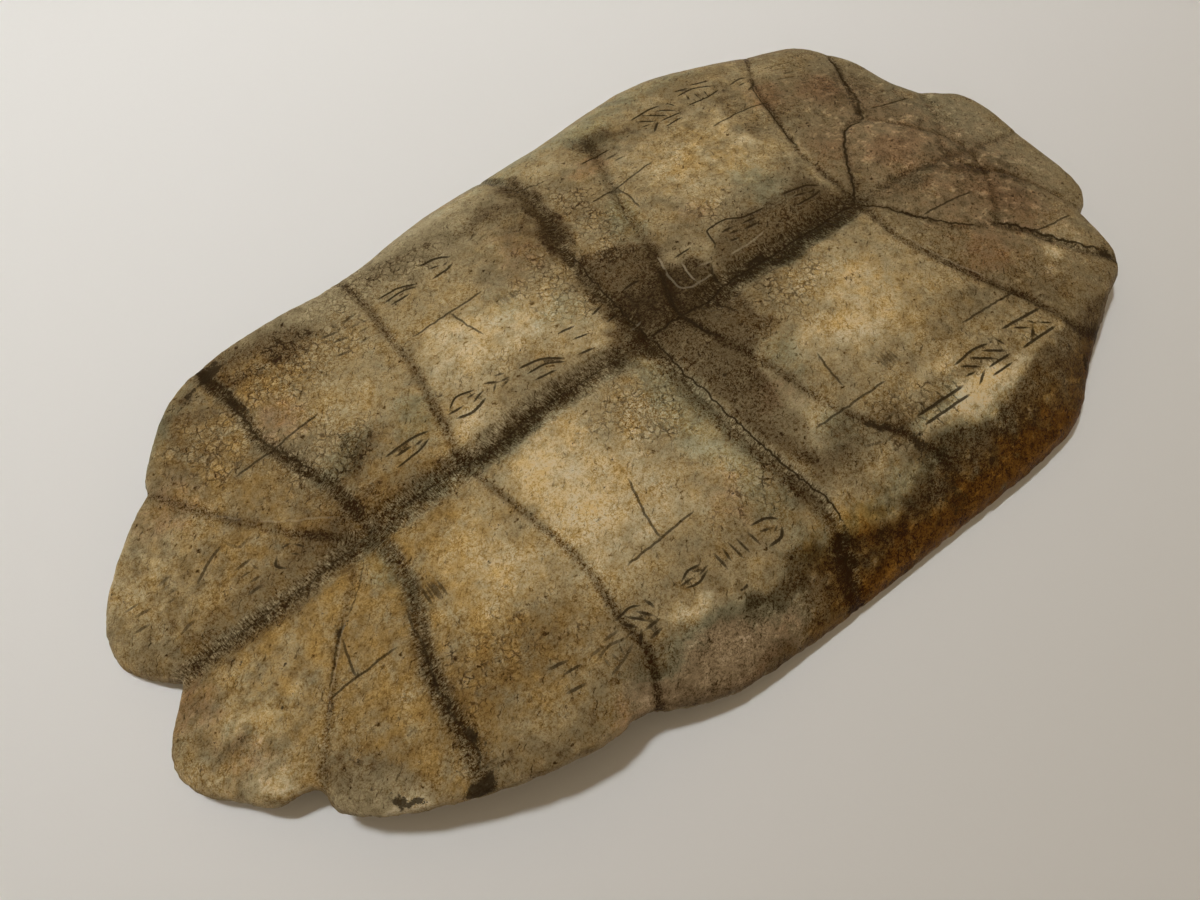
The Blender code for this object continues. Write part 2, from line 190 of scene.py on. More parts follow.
# Each line: points, how it is sunk, width and darkness of the dirt in it, how far the dirt
# lies to its left, and how much of that dirt is drawn out into hairs across the line.
FACE_LINES = (
    (TAIL_MIDLINE, MIDLINE_TROUGH, 1.7, 0.15, 0.0, 1.0),
    (REAR_MIDLINE, MIDLINE_TROUGH, 3.1, 0.24, 0.0, 0.8),
    (CROSS_MIDLINE, FINE_SEAM, 2.0, 0.1, 0.0, 0.5),
    (FRONT_MIDLINE, MIDLINE_TROUGH, 3.0, 0.17, 0.3, 0.8),
    (HEAD_MIDLINE, SCUTE_LINE, 0.8, 0.13, -0.3, 0.5),
    (NEAR_MIDDLE_SEAM, SEAM, 1.7, 0.32, -1.5, 0.8),
    (FAR_MIDDLE_SEAM, SEAM, 2.8, 0.1, 0.0, 0.3),
    (NEAR_REAR_SEAM, SEAM, 1.7, 0.3, 0.0, 1.0),
    (FAR_REAR_SEAM, SEAM, 1.2, 0.3, 0.0, 1.0),
    (NEAR_FRONT_SEAM, FINE_SEAM, 1.3, 0.24, -0.6, 1.0),
    (FAR_FRONT_SEAM, FINE_SEAM, 0.7, 0.26, 0.0, 0.7),
    (ENTOPLASTRON, FINE_SEAM, 0.6, 0.18, 0.0, 0.8),
    (NEAR_THROAT_LINE, SCUTE_LINE, 0.8, 0.15, 0.0, 0.6),
    (FAR_THROAT_LINE, SCUTE_LINE, 0.8, 0.15, 0.0, 0.6),
    (NEAR_ARM_LINE, SCUTE_LINE, 1.1, 0.32, -0.3, 0.8),
    (FAR_ARM_LINE, SCUTE_LINE, 0.6, 0.3, 0.0, 0.6),
    (NEAR_BREAST_LINE, SCUTE_LINE, 0.9, 0.22, 0.0, 0.5),
    (FAR_BREAST_LINE, SCUTE_LINE, 1.4, 0.2, 0.3, 0.4),
    (NEAR_BELLY_LINE, SCUTE_LINE, 0.75, 0.36, 0.0, 0.8),
    (FAR_BELLY_LINE, SCUTE_LINE, 0.9, 0.3, 0.0, 0.8),
    (NEAR_THIGH_LINE, SCUTE_LINE, 0.7, 0.2, 0.0, 0.2),
    (FAR_THIGH_LINE, SCUTE_LINE, 0.9, 0.24, 0.0, 0.5),
)

# Open sutures and thin cracks along the seams, measured from the middle of the box: points,
# how far they are thrown from side to side, half width and how dark they are.
OPEN_SUTURES = (
    (((-3.1, -3), (-2.9, -6), (-2.7, -9), (-3, -13), (-2.4, -18), (-2.4, -22), (-1.9, -27),
      (-1.4, -31), (-1, -35), (-0.5, -40), (0.3, -44), (1, -48), (0.8, -52)), 0.3, 0.16, 1.0),
    (((-3.1, -3), (-3.3, 1), (-3.3, 6), (-3.1, 11), (-2.8, 16), (-2.3, 20), (-2.4, 24)),
     0.3, 0.15, 0.9),
    (((-3, -3.1), (1, -3), (4, -2.9), (7, -3.2), (12.6, -3.3), (16.6, -2.3), (24, -2.5),
      (32, -2.5), (40, -2.5), (47, -2.3), (52.6, -2.6)), 0.25, 0.2, 1.0),
    (((-10, -3), (-6, -3.1), (-3, -3)), 0.2, 0.12, 0.5),
    (((5, -3), (5.1, -1), (6, 1.4), (7, 3.2)), 0.12, 0.2, 0.9),
    (((7, 3.2), (8, 5.6), (9, 8.4)), 0.2, 0.12, 0.4),
    (((5.1, -3), (5.8, -6.4), (6.2, -8.5), (7.8, -11.2)), 0.15, 0.2, 0.9),
    (((12.4, -3.4), (12.6, -5.4), (13.2, -7.4), (14, -9)), 0.1, 0.22, 0.9),
    (((16.6, -2.3), (16.2, -0.8), (16.4, 1), (17.5, 2.8)), 0.1, 0.16, 0.85),
    (((53, -2.4), (56, 0.6), (60, 6), (62.5, 9), (65.5, 12.2), (69, 15.2), (72, 16.4), (75.6, 16.2)),
     0.25, 0.24, 0.9),
    (((76, 16.6), (79, 19.8), (81.6, 23.4), (83.4, 27), (85.2, 30.4), (87.6, 34.5), (90, 40)),
     0.45, 0.3, 0.8),
    (((53.6, -3), (56.5, -6), (60, -10.5), (63, -14.2), (67, -18.6), (71, -21.2)), 0.3, 0.22, 0.85),
    (((76.4, -23), (80, -26.8), (83, -30.5), (87, -35.6), (91.4, -40)), 0.35, 0.26, 0.95),
    (((-67.6, -19), (-68.6, -24), (-70, -30), (-70.8, -36), (-71, -42), (-71.6, -47)), 0.5, 0.22, 0.6),
    (((-73, 38), (-72.4, 32), (-72.2, 27), (-71.4, 23.5), (-69.6, 19.5), (-68.2, 15)), 0.4, 0.2, 0.7),
    (((-58, -2.3), (-54, -2.5), (-50.6, -2.4)), 0.25, 0.14, 0.7),
    (((-99, -3.2), (-91, -3.3), (-80, -3.6), (-71, -3.2), (-64, -2.8)), 0.35, 0.15, 0.5),
    (((-50, -2.6), (-40, -2.9), (-27, -2.2), (-16, -2.6), (-10, -3)), 0.35, 0.14, 0.5),
    (((-69, -7), (-73, -11), (-76, -13.2)), 0.25, 0.15, 0.5),
    (((-77.4, -13.8), (-79.6, -16), (-82, -19), (-84.4, -21.8)), 0.15, 0.2, 0.6),
    (((56, 17.6), (57.2, 22), (58.6, 25.6), (60.4, 31), (62.4, 37), (64.6, 41.5)), 0.12, 0.2, 0.8),
    (((17, 34.5), (15.6, 31), (14.6, 28.6), (13.6, 25)), 0.2, 0.16, 0.4),
    (((56, -24), (58.4, -29), (61, -34), (63.6, -39), (66, -43.4)), 0.15, 0.15, 0.5),
    (((-2, 49), (-0.4, 47), (1.6, 46.4), (4, 45.2), (7, 44.4)), 0.3, 0.16, 0.6),
)

# How sharply the dirt of a line ends, and how much further out and how sharply its hairs do.
DIRT_EDGE = 2.6
HAIR_REACH = 1.35
HAIR_EDGE = 3

# Distances from a line are worked out up to its reach and are endless beyond it. A point
# with no line near counts as lying this far to the left of one. The runs of the lines are
# kept this far apart, so that their fibres differ.
LINE_REACH = 12.0
NO_LINE_NEAR = 30.0
ENDLESS = 99.0
RUN_APART = 40.0

# The rough bands along the seams: each line and how far its roughness reaches, then how
# sharply that ends and how far beyond it is still worked out.
ROUGH_BANDS = (
    (TAIL_MIDLINE, 1.9), (REAR_MIDLINE, 3.2), (FRONT_MIDLINE, 2.8), (NEAR_REAR_SEAM, 1.8),
    (FAR_REAR_SEAM, 1.6), (NEAR_MIDDLE_SEAM, 1.2), (FAR_MIDDLE_SEAM, 1.0), (NEAR_FRONT_SEAM, 1.0),
)
BAND_EDGE = 4
BAND_BEYOND = 2

# ------------------------------------------------------------------- marks on the face

# Long cracks made by heat, each with the short branch that leaves it.
HEAT_CRACKS = (
    (((-85, -23), (-80, -23.1), (-72.3, -23.1)), ((-80, -23.1), (-79.6, -20), (-78.7, -16))),
    (((-79, 21.6), (-70, 22.2), (-61, 23)), ()),
    (((-38, 26.4), (-29.5, 26.6), (-21.5, 26.9)), ((-29.5, 26.6), (-28.6, 22.5), (-27.3, 18))),
    (((10, 32.2), (17, 32.6), (28, 34)), ((17, 32.6), (17.2, 28.5), (16.8, 24.5))),
    (((46, 34.4), (55, 34.5), (63, 34)), ()),
    (((-34.5, -35.7), (-27, -35.5), (-19.5, -35.2)), ((-27, -35.4), (-26.3, -30), (-24.6, -23.5))),
    (((8.5, -36.3), (17, -36.6), (26, -36.9)), ((18.6, -33), (18.9, -29), (19.5, -25))),
    (((48, -36.7), (58, -37.2), (64.5, -37.4)), ()),
    (((63, -13), (70, -13.4), (78.5, -13.9)), ()),
    (((81, -29), (88, -29.8), (94, -30)), ()),
    (((81, 18.4), (88, 17.4), (94, 17)), ()),
    (((4.8, -3), (5.1, 1), (6.9, 4.5), (8.9, 9)), ((4.9, -3), (5.6, -6.5), (7.2, -10.5))),
    (((12.4, -3.6), (12.8, -6), (13.6, -8.5)), ((16.2, -2), (16, 0.5), (17, 2.4))),
)

# Groups of cut strokes that stand in rows: middle, length and height of the group, its
# turn in degrees, its pattern and how dark its cuts are.
STROKE_GROUPS = (
    # far row, along the bridge
    (-50, 34.3, 4.4, 6, 0, "bars", 0.7), (-45.4, 35, 4, 6.5, 4, "rungs", 0.6),
    (-34.6, 37.3, 8, 3.4, 4, "sheaf", 0.9), (-24.4, 38.4, 7, 5, 0, "fork", 0.9),
    (-14, 40, 5, 2, 8, "pair", 0.4), (19.6, 43.6, 8, 0.6, 0, "single", 0.9),
    (23, 40.6, 4, 2, -8, "pair", 0.7), (39.4, 45.2, 11, 7.5, 0, "weave", 1.0),
    (52.5, 46.8, 10, 6.5, -6, "comb", 1.0), (64, 43, 6, 5, 20, "fork", 0.8),
    (75, 41, 9, 6, -14, "rungs", 0.45),
    # far row, beside the midline
    (-51, 6.2, 9.4, 3.6, 4, "fork", 1.0), (-38, 7.2, 8.4, 4.6, 0, "lens", 1.0),
    (-31.2, 7.3, 4.4, 3.2, 0, "cross", 0.9), (-22.6, 4.6, 8, 4.4, -4, "sheaf", 1.0),
    (-13.8, 5.2, 4.4, 7.4, 0, "bars", 1.0), (-6.2, 6.9, 4.2, 4.2, 0, "pair", 1.0),
    (2, 9, 3.6, 0.4, -3, "single", 1.0), (-0.3, 6.8, 0.6, 3.8, 0, "post", 0.6),
    (2.1, 2.6, 3.4, 0.6, 0, "single", 0.5), (15, 8.9, 4.2, 0.3, 0, "single", 0.9),
    (29, 6.6, 14.6, 7, -4, "canopy", 0.95), (46.4, 5.6, 9, 4.4, -6, "fork", 1.0),
    # far anal plate
    (-104.6, 10.4, 4, 5, 0, "bars", 0.65), (-98.4, 11, 3.2, 4, 0, "rungs", 0.5),
    (-90.6, 10.2, 7, 4.6, 28, "single", 0.7), (-84.8, 10.6, 4, 2, -20, "arc", 0.4),
    (-86, 3.6, 4, 5.4, 0, "rungs", 0.7), (-78.6, 2.8, 5.6, 4, 0, "hook", 0.9),
    (-98.6, 3.1, 3, 1, 10, "single", 0.6), (-102.6, 3.2, 2, 1, 10, "single", 0.3),
    # near row, along the bridge
    (-59.5, -46.2, 3, 2.4, 0, "pair", 0.35), (-52.8, -44.2, 4.4, 5.4, 0, "bars", 0.8),
    (-45, -45.6, 6.4, 4.6, 10, "comb", 0.6), (-38.6, -44.6, 6, 6, 0, "weave", 0.9),
    (-26.6, -44, 6.4, 2.4, 0, "lens", 0.9), (-17.6, -44.8, 8, 3.6, 0, "tally", 0.8),
    (-11, -45.4, 5, 5.4, 0, "fork", 1.0), (16.6, -45.4, 6, 4.6, 10, "cross", 0.5),
    (21.4, -44, 3, 3, -10, "pair", 0.7), (31.6, -46.6, 12, 5.2, -2, "ladder", 1.0),
    (45.4, -45.2, 12, 6.4, -2, "weave", 1.0), (59.2, -45, 11, 5.4, -2, "splay", 1.0),
    # ticks
    (-62.2, -19, 3.2, 4, 0, "tally", 0.7), (30, -33.8, 3.4, 3.4, 0, "tally", 0.5),
    (-19, 22.6, 3.4, 3.4, 0, "tally", 0.4), (-70, -48, 7, 1.4, -10, "pair", 0.3),
)

# Strokes of each pattern in a box from -1 to 1. They are plain strokes: none closes or
# meets another so as to make a sign.
PATTERNS = {
    "single": (((-1, 0), (0.1, 0.1), (1, -0.1)),),
    "post": (((0.6, 1), (0, 0), (-0.5, -1)),),
    "arc": (((-1, 0.9), (-0.5, -0.4), (0.3, -0.9), (1, 0.2)),),
    "pair": (((-1, 0.6), (0.4, 1)), ((-0.4, -1), (0.9, -0.7))),
    "bars": (((-1, 1), (0.5, 0.8)), ((-0.4, 0.2), (1, 0)), ((-0.9, -0.8), (0.4, -1))),
    "rungs": (((-0.9, 0.95), (0.9, 1)), ((-0.6, 0.35), (0.3, 0.3)), ((-0.2, -0.3), (0.8, -0.35)),
              ((-0.8, -0.95), (0.4, -1)), ((0.7, 0.6), (1, 0.1))),
    "tally": (((-1, -0.8), (-1, 1)), ((-0.6, -0.6), (-0.55, 0.9)), ((-0.15, -1), (-0.2, 1)),
              ((0.25, -0.9), (0.2, 0.8)), ((0.8, -1), (0.75, 0.6))),
    "sheaf": (((-1, 1), (0.1, 0.7), (1, -0.3)), ((-0.9, 0.1), (0.2, 0), (0.9, -0.7)),
              ((-0.7, -0.8), (0.4, -1))),
    "fork": (((-1, 0.9), (0.2, 0.7), (0.9, 0.2)), ((-0.9, -0.9), (0.1, -0.8), (0.7, -0.5)),
             ((-0.7, 0.2), (0, 0)), ((0.1, -0.2), (0.5, -0.1))),
    "cross": (((-1, 0.7), (0.1, -0.1)), ((-0.8, -0.7), (-0.3, -0.1)), ((0.3, -0.2), (1, -0.3)),
              ((0.1, 0.9), (0.9, 0.4)), ((0.2, -0.8), (0.8, -0.7))),
    "splay": (((-1, 1), (1, 0.85)), ((-0.6, 0.6), (-0.1, 0)), ((0.1, 0.5), (0.3, 0)),
              ((-0.3, -0.7), (0.1, -0.2)), ((0.5, -0.1), (0.9, -0.6)), ((-0.9, -1), (0.9, -1))),
    "lens": (((-0.8, 0.5), (-0.2, 1), (0.6, 0.7)), ((-0.8, -0.6), (-0.1, -1), (0.7, -0.6)),
             ((-1, 0.1), (-0.2, 0)), ((0.2, -0.3), (0.9, 0.1)), ((0.1, 0.4), (0.5, 0.3))),
    "hook": (((-0.6, -1), (-1, -0.2), (-0.7, 0.5)), ((-0.2, 0.9), (0.5, 0.8)),
             ((0.6, 0.4), (1, -0.3)), ((0.2, -0.1), (0.5, -0.6))),
    "canopy": (((-1, -0.3), (-0.95, 0.5), (-0.8, 0.95), (-0.2, 1), (0.3, 0.6), (1, 0.5)),
               ((-0.6, 0.35), (-0.2, 0.3)), ((-0.45, 0), (-0.1, -0.1)), ((0, -0.3), (0.5, -0.25)),
               ((-0.6, -0.5), (-0.3, -0.6)), ((0.1, 0.2), (0.6, 0.1))),
    "comb": (((-1, 0.4), (0, 0.5), (0.9, 0)), ((-0.9, 1), (-0.2, 0.8)), ((0, 1), (0.9, 0.8)),
             ((-0.6, 0.1), (-0.7, -0.5)), ((-0.2, 0), (-0.2, -0.6)), ((0.3, -0.1), (0.25, -0.6)),
             ((-1, -1), (0.1, -0.9), (0.9, -0.6))),
    "weave": (((-1, 0.9), (-0.1, 1), (0.5, 0.85)), ((-0.9, 0.6), (-0.3, -0.1)),
              ((-0.4, 0.7), (0.3, -0.2)), ((0.2, 0.6), (0.8, -0.1)), ((-1, -0.1), (-0.6, -0.2)),
              ((-0.8, -0.9), (-0.3, -0.35)), ((-0.1, -0.4), (0.9, -0.5)), ((-0.2, -1), (0.7, -0.95)),
              ((0.85, 0.8), (1, 0.2))),
    "ladder": (((-1, 0.3), (1, 0.2)), ((-1, -0.5), (0.9, -0.55)), ((-0.6, 1), (-0.62, 0.65)),
               ((-0.3, -0.02), (-0.3, -0.26)), ((0.1, 1), (0.12, 0.6)), ((0.5, -0.04), (0.5, -0.3)),
               ((-0.5, -0.8), (-0.48, -1.1)), ((0.2, -0.85), (0.2, -1.1)), ((0.8, 0.95), (0.8, 0.55))),
}

# Pale lips along sunken lines and cracks: partly wear, partly painted highlights where the lips face
# the light. How pale, and their points.
PALE_LIPS_AND_HIGHLIGHTS = (
    (0.38, ((16.6, 1), (12.4, 0.9), (10.6, 1.2), (9.4, 1.8), (8.9, 3), (9.1, 5.6), (9.7, 7.6))),
    (0.5, ((9.7, 7.6), (10.2, 9.4), (10.8, 11.4))), (0.5, ((12.4, 1.6), (12.6, 4), (13.1, 7))),
    (0.35, ((15, 4.1), (18.6, 3.5))), (0.4, ((22.2, 2.5), (26, 2.3), (32, 2.9))),
    (0.4, ((-5, 0.6), (-2, 0.8))), (0.4, ((-76.6, -13.4), (-80.4, -17.4), (-84, -21.6))),
    (0.2, ((-84, -21.6), (-88, -27))), (0.35, ((-69, 3.6), (-76, 8.4), (-80, 11.6))),
    # (54, -11) on: the head-side lip of the near arm line, partly wear and partly a painted highlight
    # where it faces the light
    (0.3, ((-82, 13.8), (-86.4, 18.4))), (0.3, ((54, -11), (55.4, -18), (58, -25), (61.4, -31.6))),
    # a painted highlight along the lip of the midline trough's near wall, where it faces the light
    (0.3, ((-49, -6.3), (-40, -6.2), (-30, -6.2), (-18, -6.1))),
)

# ------------------------------------------------------------------------------ stains

# Ground-in brown: strength, how softly it ends, and its outline.
BROWN_PANELS = (
    # along the far middle seam
    (0.66, 1.0, ((-6.4, 10), (-5, 20), (-4.7, 26), (-4.1, 31), (-3.4, 36), (-2.4, 40), (-1.4, 43),
                 (-2.6, 46), (-2.9, 51), (-3.2, 55), (-1.4, 58), (0, 63), (3, 63), (0.8, 57),
                 (2, 53), (2.6, 47), (3.6, 42), (2.6, 36), (1.8, 30), (-0.6, 27), (-1, 22), (1, 18),
                 (1, 8))),
    # between that seam and the breast line
    (0.76, 2.0, ((-9.6, 4.4), (-6.4, 9), (-5.4, 12), (-4, 20), (0, 20.4), (7, 19.6), (10.6, 18),
                 (12, 13), (10.4, 9.6), (18, 7), (19, 2), (19, -8), (18, -15), (9.4, -18),
                 (9, -28), (7, -36), (3, -43), (0, -39), (-1.6, -31), (-2.8, -22), (-3.2, -10),
                 (-7, -6.4), (-12, -5.4), (-14, 0.8))),
    # along the midline
    (0.45, 1.8, ((-104, -2), (-98, 1.6), (-80, 4.4), (-66, 6), (-52, 3), (-40, 1), (-16, 1.2),
                 (-8, 2), (-8, -3), (-40, -4), (-104, -8))),
    (0.7, 2.2, ((17, -5), (19, 5), (24, 9), (30, 11), (40, 9.6), (52, 10.6), (55, -5), (40, -6))),
    # the head end beyond the arm lines
    (0.5, 1.8, ((52, -3), (54, 14), (57.5, 24), (62, 36), (66, 46), (72, 60), (96, 48), (115, 22),
                 (115, -10), (108, -32), (92, -50), (72, -52), (64, -38), (58, -28), (54, -14))),
    # the near bridge's flank
    (0.8, 1.8, ((-44, -54), (-20, -51.5), (-8, -50), (-1, -51.6), (3, -54), (9, -57), (16, -54),
                (22, -50), (38, -53), (50, -51), (60, -49), (70, -48), (92, -46), (84, -56),
                (60, -68), (20, -70), (-22, -68), (-44, -62))),
    # the rear corner of the far bridge
    (0.6, 2.2, ((-80, 50), (-76, 38), (-64, 38), (-56, 36), (-50, 38), (-52, 44), (-62, 47))),
    # below the bridges' rows
    (0.45, 2.2, ((-20, 46.6), (-18, 41), (-8, 40.4), (-4, 42), (-4, 46), (-12, 47))),
    (0.4, 2.0, ((3, 46), (4, 41), (12, 41.6), (12, 46.4))),
    (0.55, 2.0, ((18, 57), (16, 50), (20, 46), (29, 46), (30, 51), (26, 54), (21, 53))),
    (0.5, 2.0, ((42, 54), (45, 47), (58, 50), (66, 48), (66, 54), (54, 57))),
    (0.45, 2.5, ((-44, -55), (-46, -48), (-38, -49), (-30, -52), (-8, -49), (-6, -52), (-26, -56))),
)

# Each patch: middle, half length and half width, its turn in degrees, and its strength,
# which fades out from the middle this sharply.
PATCH_EDGE = 1.5
TONE_PATCHES = (
    # pale, handled or clean bone, and one painted highlight
    (-24, 17, 14, 8, 0, 0.22), (-30, 22, 8, 4, 0, 0.1), (-26, -18, 15, 15, 0, 0.18),
    (-38, -10, 12, 4, 0, 0.12), (-52, -19, 9, 9, 0, 0.16), (35, -20, 14, 12, 0, 0.2),
    (38, 26, 13, 9, 0, 0.1), (29, 16, 7, 5, 20, 0.1), (21, 28, 7, 8, 0, 0.08),
    (-54, 22, 9, 7, 0, 0.06), (-98, -17, 8, 3, -30, 0.12), (-102, -14, 4, 2, -30, 0.1),
    # (38, -48): the whitish ridge on the near bridge's crown, partly polish and partly a painted
    # highlight
    (-100, 16, 7, 7, 30, 0.06), (38, -48, 13, 2.6, -3, 0.5), (34, -41, 8, 2, 0, 0.2),
    (-12, 53, 16, 4, 4, 0.12), (20, 57, 20, 4, 4, 0.08), (-38, 3, 5, 4, 0, 0.2),
    (-9, -30, 4, 10, 0, 0.14), (21, -22, 6, 4, 0, 0.16), (-22, -34, 10, 3, 0, 0.1),
    (47, 31, 2, 5, 0, 0.14), (54, 33, 6, 2, 0, 0.1), (80.5, -36, 2.6, 2.6, 0, 0.36),
    (75, -38, 1.8, 1.6, 0, 0.3), (-66, 41, 3, 2, 0, 0.16), (75, 12, 6, 3, 0, 0.12),
    (-10, 46, 8, 2, 0, 0.1), (72, 44, 6, 3, 0, 0.16), (7, -52, 9, 3, 0, 0.14),
    (-12, 6, 5, 6, 0, 0.14), (10, -36, 6, 8, 0, 0.12), (30, -28, 8, 4, 0, 0.14),
    (-31, -48, 3, 2, 0, 0.2), (-98, -29, 7, 1.6, -40, 0.2), (-84, -45, 7, 1.6, -38, 0.22),
    (5, 24, 3, 5, 0, 0.12), (57, 36, 6, 3, 0, 0.1), (8, 47, 6, 3, 0, 0.1), (6, -34, 4, 6, 0, 0.1),
    (-35, 15, 6, 9, 0, 0.12), (-35, -24, 6, 15, 0, 0.15), (-50, -28, 8, 6, 0, 0.07),
    (102, 0, 7, 34, 0, 0.04), (88, -34, 7, 6, -30, 0.14), (40, -52, 9, 2.4, 0, 0.12),
    (-28, -57, 14, 4, -6, 0.42), (66, -52, 5, 3, 0, 0.12), (-16, -13, 7, 7, 0, 0.05),
    (-86, -14, 10, 6, 0, 0.04), (-58, -26, 7, 7, 0, 0.04), (54, -56, 8, 4, 0, 0.06),
    (82, -2, 16, 8, 0, 0.05), (-16, 14, 6, 6, 0, 0.06), (-30, -14, 7, 7, 0, 0.04),
    (-28, -3.4, 30, 1.2, 0, 0.03), (-88, -2.4, 16, 2.4, 0, 0.06),
    # ground-in brown
    (-68, 4.6, 10, 4, 0, -0.2), (-105, -12, 4, 8, 0, -0.12), (10, -41, 7, 5, 0, -0.34),
    (24, -20, 7, 6, 0, -0.08), (38, -4.4, 15, 2.6, 0, -0.12), (55, 36, 4, 11, -15, -0.2),
    (-64, 40, 12, 6, 0, -0.08), (-3, 36, 3, 14, 0, -0.14), (4, 4, 13, 7, 0, -0.16),
    (78, -4, 24, 3, 0, -0.14), (24, 46, 8, 4, 0, -0.1), (-16, 45, 14, 4, 0, -0.1),
    (-80, 40, 9, 6, 0, -0.1), (58, 30, 7, 12, 0, -0.08), (-8.5, 36, 3.5, 14, 0, -0.14),
    (-60, -52, 10, 3, -8, -0.12), (9, -52, 9, 3, 0, -0.14), (30, 12, 20, 4, 0, -0.06),
    (48, 10, 5, 5, 0, -0.1), (20, 26, 6, 8, 0, -0.08), (-72, 15, 5, 8, 0, -0.06),
    (-85, 33, 6, 8, -40, -0.08), (-33, 45, 7, 3, 0, -0.12), (24, 48, 7, 5, 0, -0.1),
    (38, 45, 9, 4, 0, -0.12), (-57, -38, 14, 7, 0, -0.06), (-44, -50, 10, 4, -8, -0.16),
    (-26, -54, 9, 4, 0, -0.1), (21, -45, 3, 6, -20, -0.24), (-17, -13, 6, 5, 0, -0.08),
    (50, -34, 14, 4, 0, -0.14), (-70, -38, 4, 14, 0, -0.06), (-102, 2, 9, 5, -30, -0.12),
    (-100, -19, 3, 2, 0, -0.18), (-88, -35, 6, 4, -30, -0.14), (-85, -5, 16, 2, 0, -0.14),
    (-60, 11, 6, 3, 0, -0.12), (42, -47, 3, 4, 0, -0.1), (85, -8.4, 4, 1.6, -10, -0.2),
    (92, -14, 6, 1.6, -60, -0.12), (-32, -2.6, 14, 1.8, 0, -0.22), (24, -3.2, 9, 1.4, 0, -0.12),
    (30, -46, 7, 2.4, 0, -0.12), (-45, -3, 20, 4, 0, -0.05), (-86, 12, 10, 8, 0, -0.05),
    (40, 1, 16, 6, 0, -0.05), (-30, -43, 18, 5, 0, -0.05), (-78, -43, 12, 6, 0, -0.05),
    (33, 14, 14, 6, 0, -0.03), (12, -28, 6, 9, 0, -0.07), (83, 28, 9, 9, 0, -0.12),
    (68, 36, 12, 12, 0, -0.05), (88, -14, 10, 8, 0, -0.06), (-2, -42, 8, 5, 0, -0.06),
    (68, -40, 7, 6, 0, -0.08), (50, 2, 8, 4, 0, -0.06), (-84, 2, 12, 6, 0, -0.06),
    (23, -9, 6, 4, 0, -0.06), (26, -57, 40, 5, 0, -0.06), (0, -55, 8, 4, 0, -0.06),
    (-3, 38, 4, 16, 0, -0.06), (7, 30, 5, 14, 0, -0.06), (-60, 11, 5, 4, 0, -0.08),
    (67, -56, 6, 4, 0, -0.1), (80, 0, 16, 26, 0, -0.05), (-98, 20, 12, 3, 40, -0.06),
    (60, 4, 3, 6, -30, -0.06),
)
# Where oil and age have yellowed the bone, or less than elsewhere.
AMBER_PATCHES = (
    (30, -65, 40, 6, 0, 2.8), (0, -55, 10, 5, 0, 0.8), (-58, -38, 12, 8, 0, 0.3),
    (-72, -6, 26, 28, 0, 0.35), (-76, -40, 12, 8, -30, 0.3), (-82, 28, 8, 9, 0, 0.15),
    (-67, 38, 12, 7, 0, 0.35), (-30, -15, 11, 12, 0, 0.1), (-30, -57, 15, 5, -6, -1.4),
    (38, -22, 12, 9, 0, 0.15), (-27, 19, 9, 6, 0, 0.1), (38, 27, 12, 7, 0, 0.15),
    (100, -4, 8, 22, 0, -0.2), (68, -57, 6, 4, 0, 1.4), (80, 6, 26, 36, 0, -0.22),
    (40, 11, 14, 6, 0, -0.15), (-34, 46, 34, 7, 0, -0.35), (-65, 14, 10, 8, 0, -0.25),
    (-86, -42, 9, 5, -35, -0.5), (-80, 0, 12, 6, 0, -0.25), (5, -22, 8, 14, 0, -0.25),
    (8, 2, 12, 8, 0, -0.3), (12, -42, 8, 6, 0, -0.2), (54, -57, 8, 4, 0, 0.5),
)
# Where rusty soil has reddened it.
ROSE_PATCHES = (
    (80, -2, 24, 36, 0, 0.6), (-30, -58, 14, 5, -6, 1.3), (74, 5, 8, 4, 0, 0.5),
    (64, 36, 5, 6, 0, 0.7), (7, -27, 4, 5, 0, 0.5), (-12, -37, 7, 5, 0, 0.4),
    (24, 15, 5, 4, 0, 0.4), (17, 42, 6, 4, 0, 0.7), (-104, -8, 5, 6, 0, 0.6),
    (-100, -22, 8, 5, -40, 0.5), (-46, -55, 8, 4, 0, 0.6), (66, -28, 8, 6, 0, 0.5),
    (-14, 58, 14, 4, 0, 0.6), (76, 30, 6, 6, 0, 0.6), (60, 14, 6, 6, 0, 0.4),
    (-67, 28, 5, 5, 0, 0.7), (84, -20, 6, 8, 0, 0.4), (-92, 24, 8, 6, 0, 0.5),
    (-10, 30, 6, 8, 0, 0.5),
)
# Where damp soil has greyed it.
GREY_PATCHES = (
    (-8, -20, 5, 17, 0, 0.9), (-7, -42, 4, 10, 0, 0.6), (24, 49, 6, 6, 0, 0.7),
    (40, 14, 5, 8, 0, 0.8), (-48, 12, 4, 6, 0, 0.8), (-62, 12, 6, 3, 0, 0.9),
    (-33, -56, 15, 5, -6, 1.7), (-88, 38, 9, 4, 35, 0.8), (15, -21, 4, 5, 0, 0.8),
    (13, 25, 4, 7, -20, 0.9), (-12, 13, 5, 5, 0, 0.6), (35, -4, 18, 2.4, 0, 0.9),
    (-42, -4, 26, 2.6, 0, 0.7), (30, -46, 8, 2, 0, 0.8), (-99, -20, 9, 9, -40, 0.3),
    (84, 0, 24, 40, 0, 0.08), (12, -53, 34, 3.4, 0, 0.8), (10, 57, 60, 5, 0, 0.9),
    (95, 12, 12, 24, 0, 0.4), (-66, -12, 3, 9, 0, 0.6), (-20, 22, 5, 5, 0, 0.5),
    (12, -38, 4, 8, 20, 0.6), (72, -3, 9, 2, 0, 0.9),
)
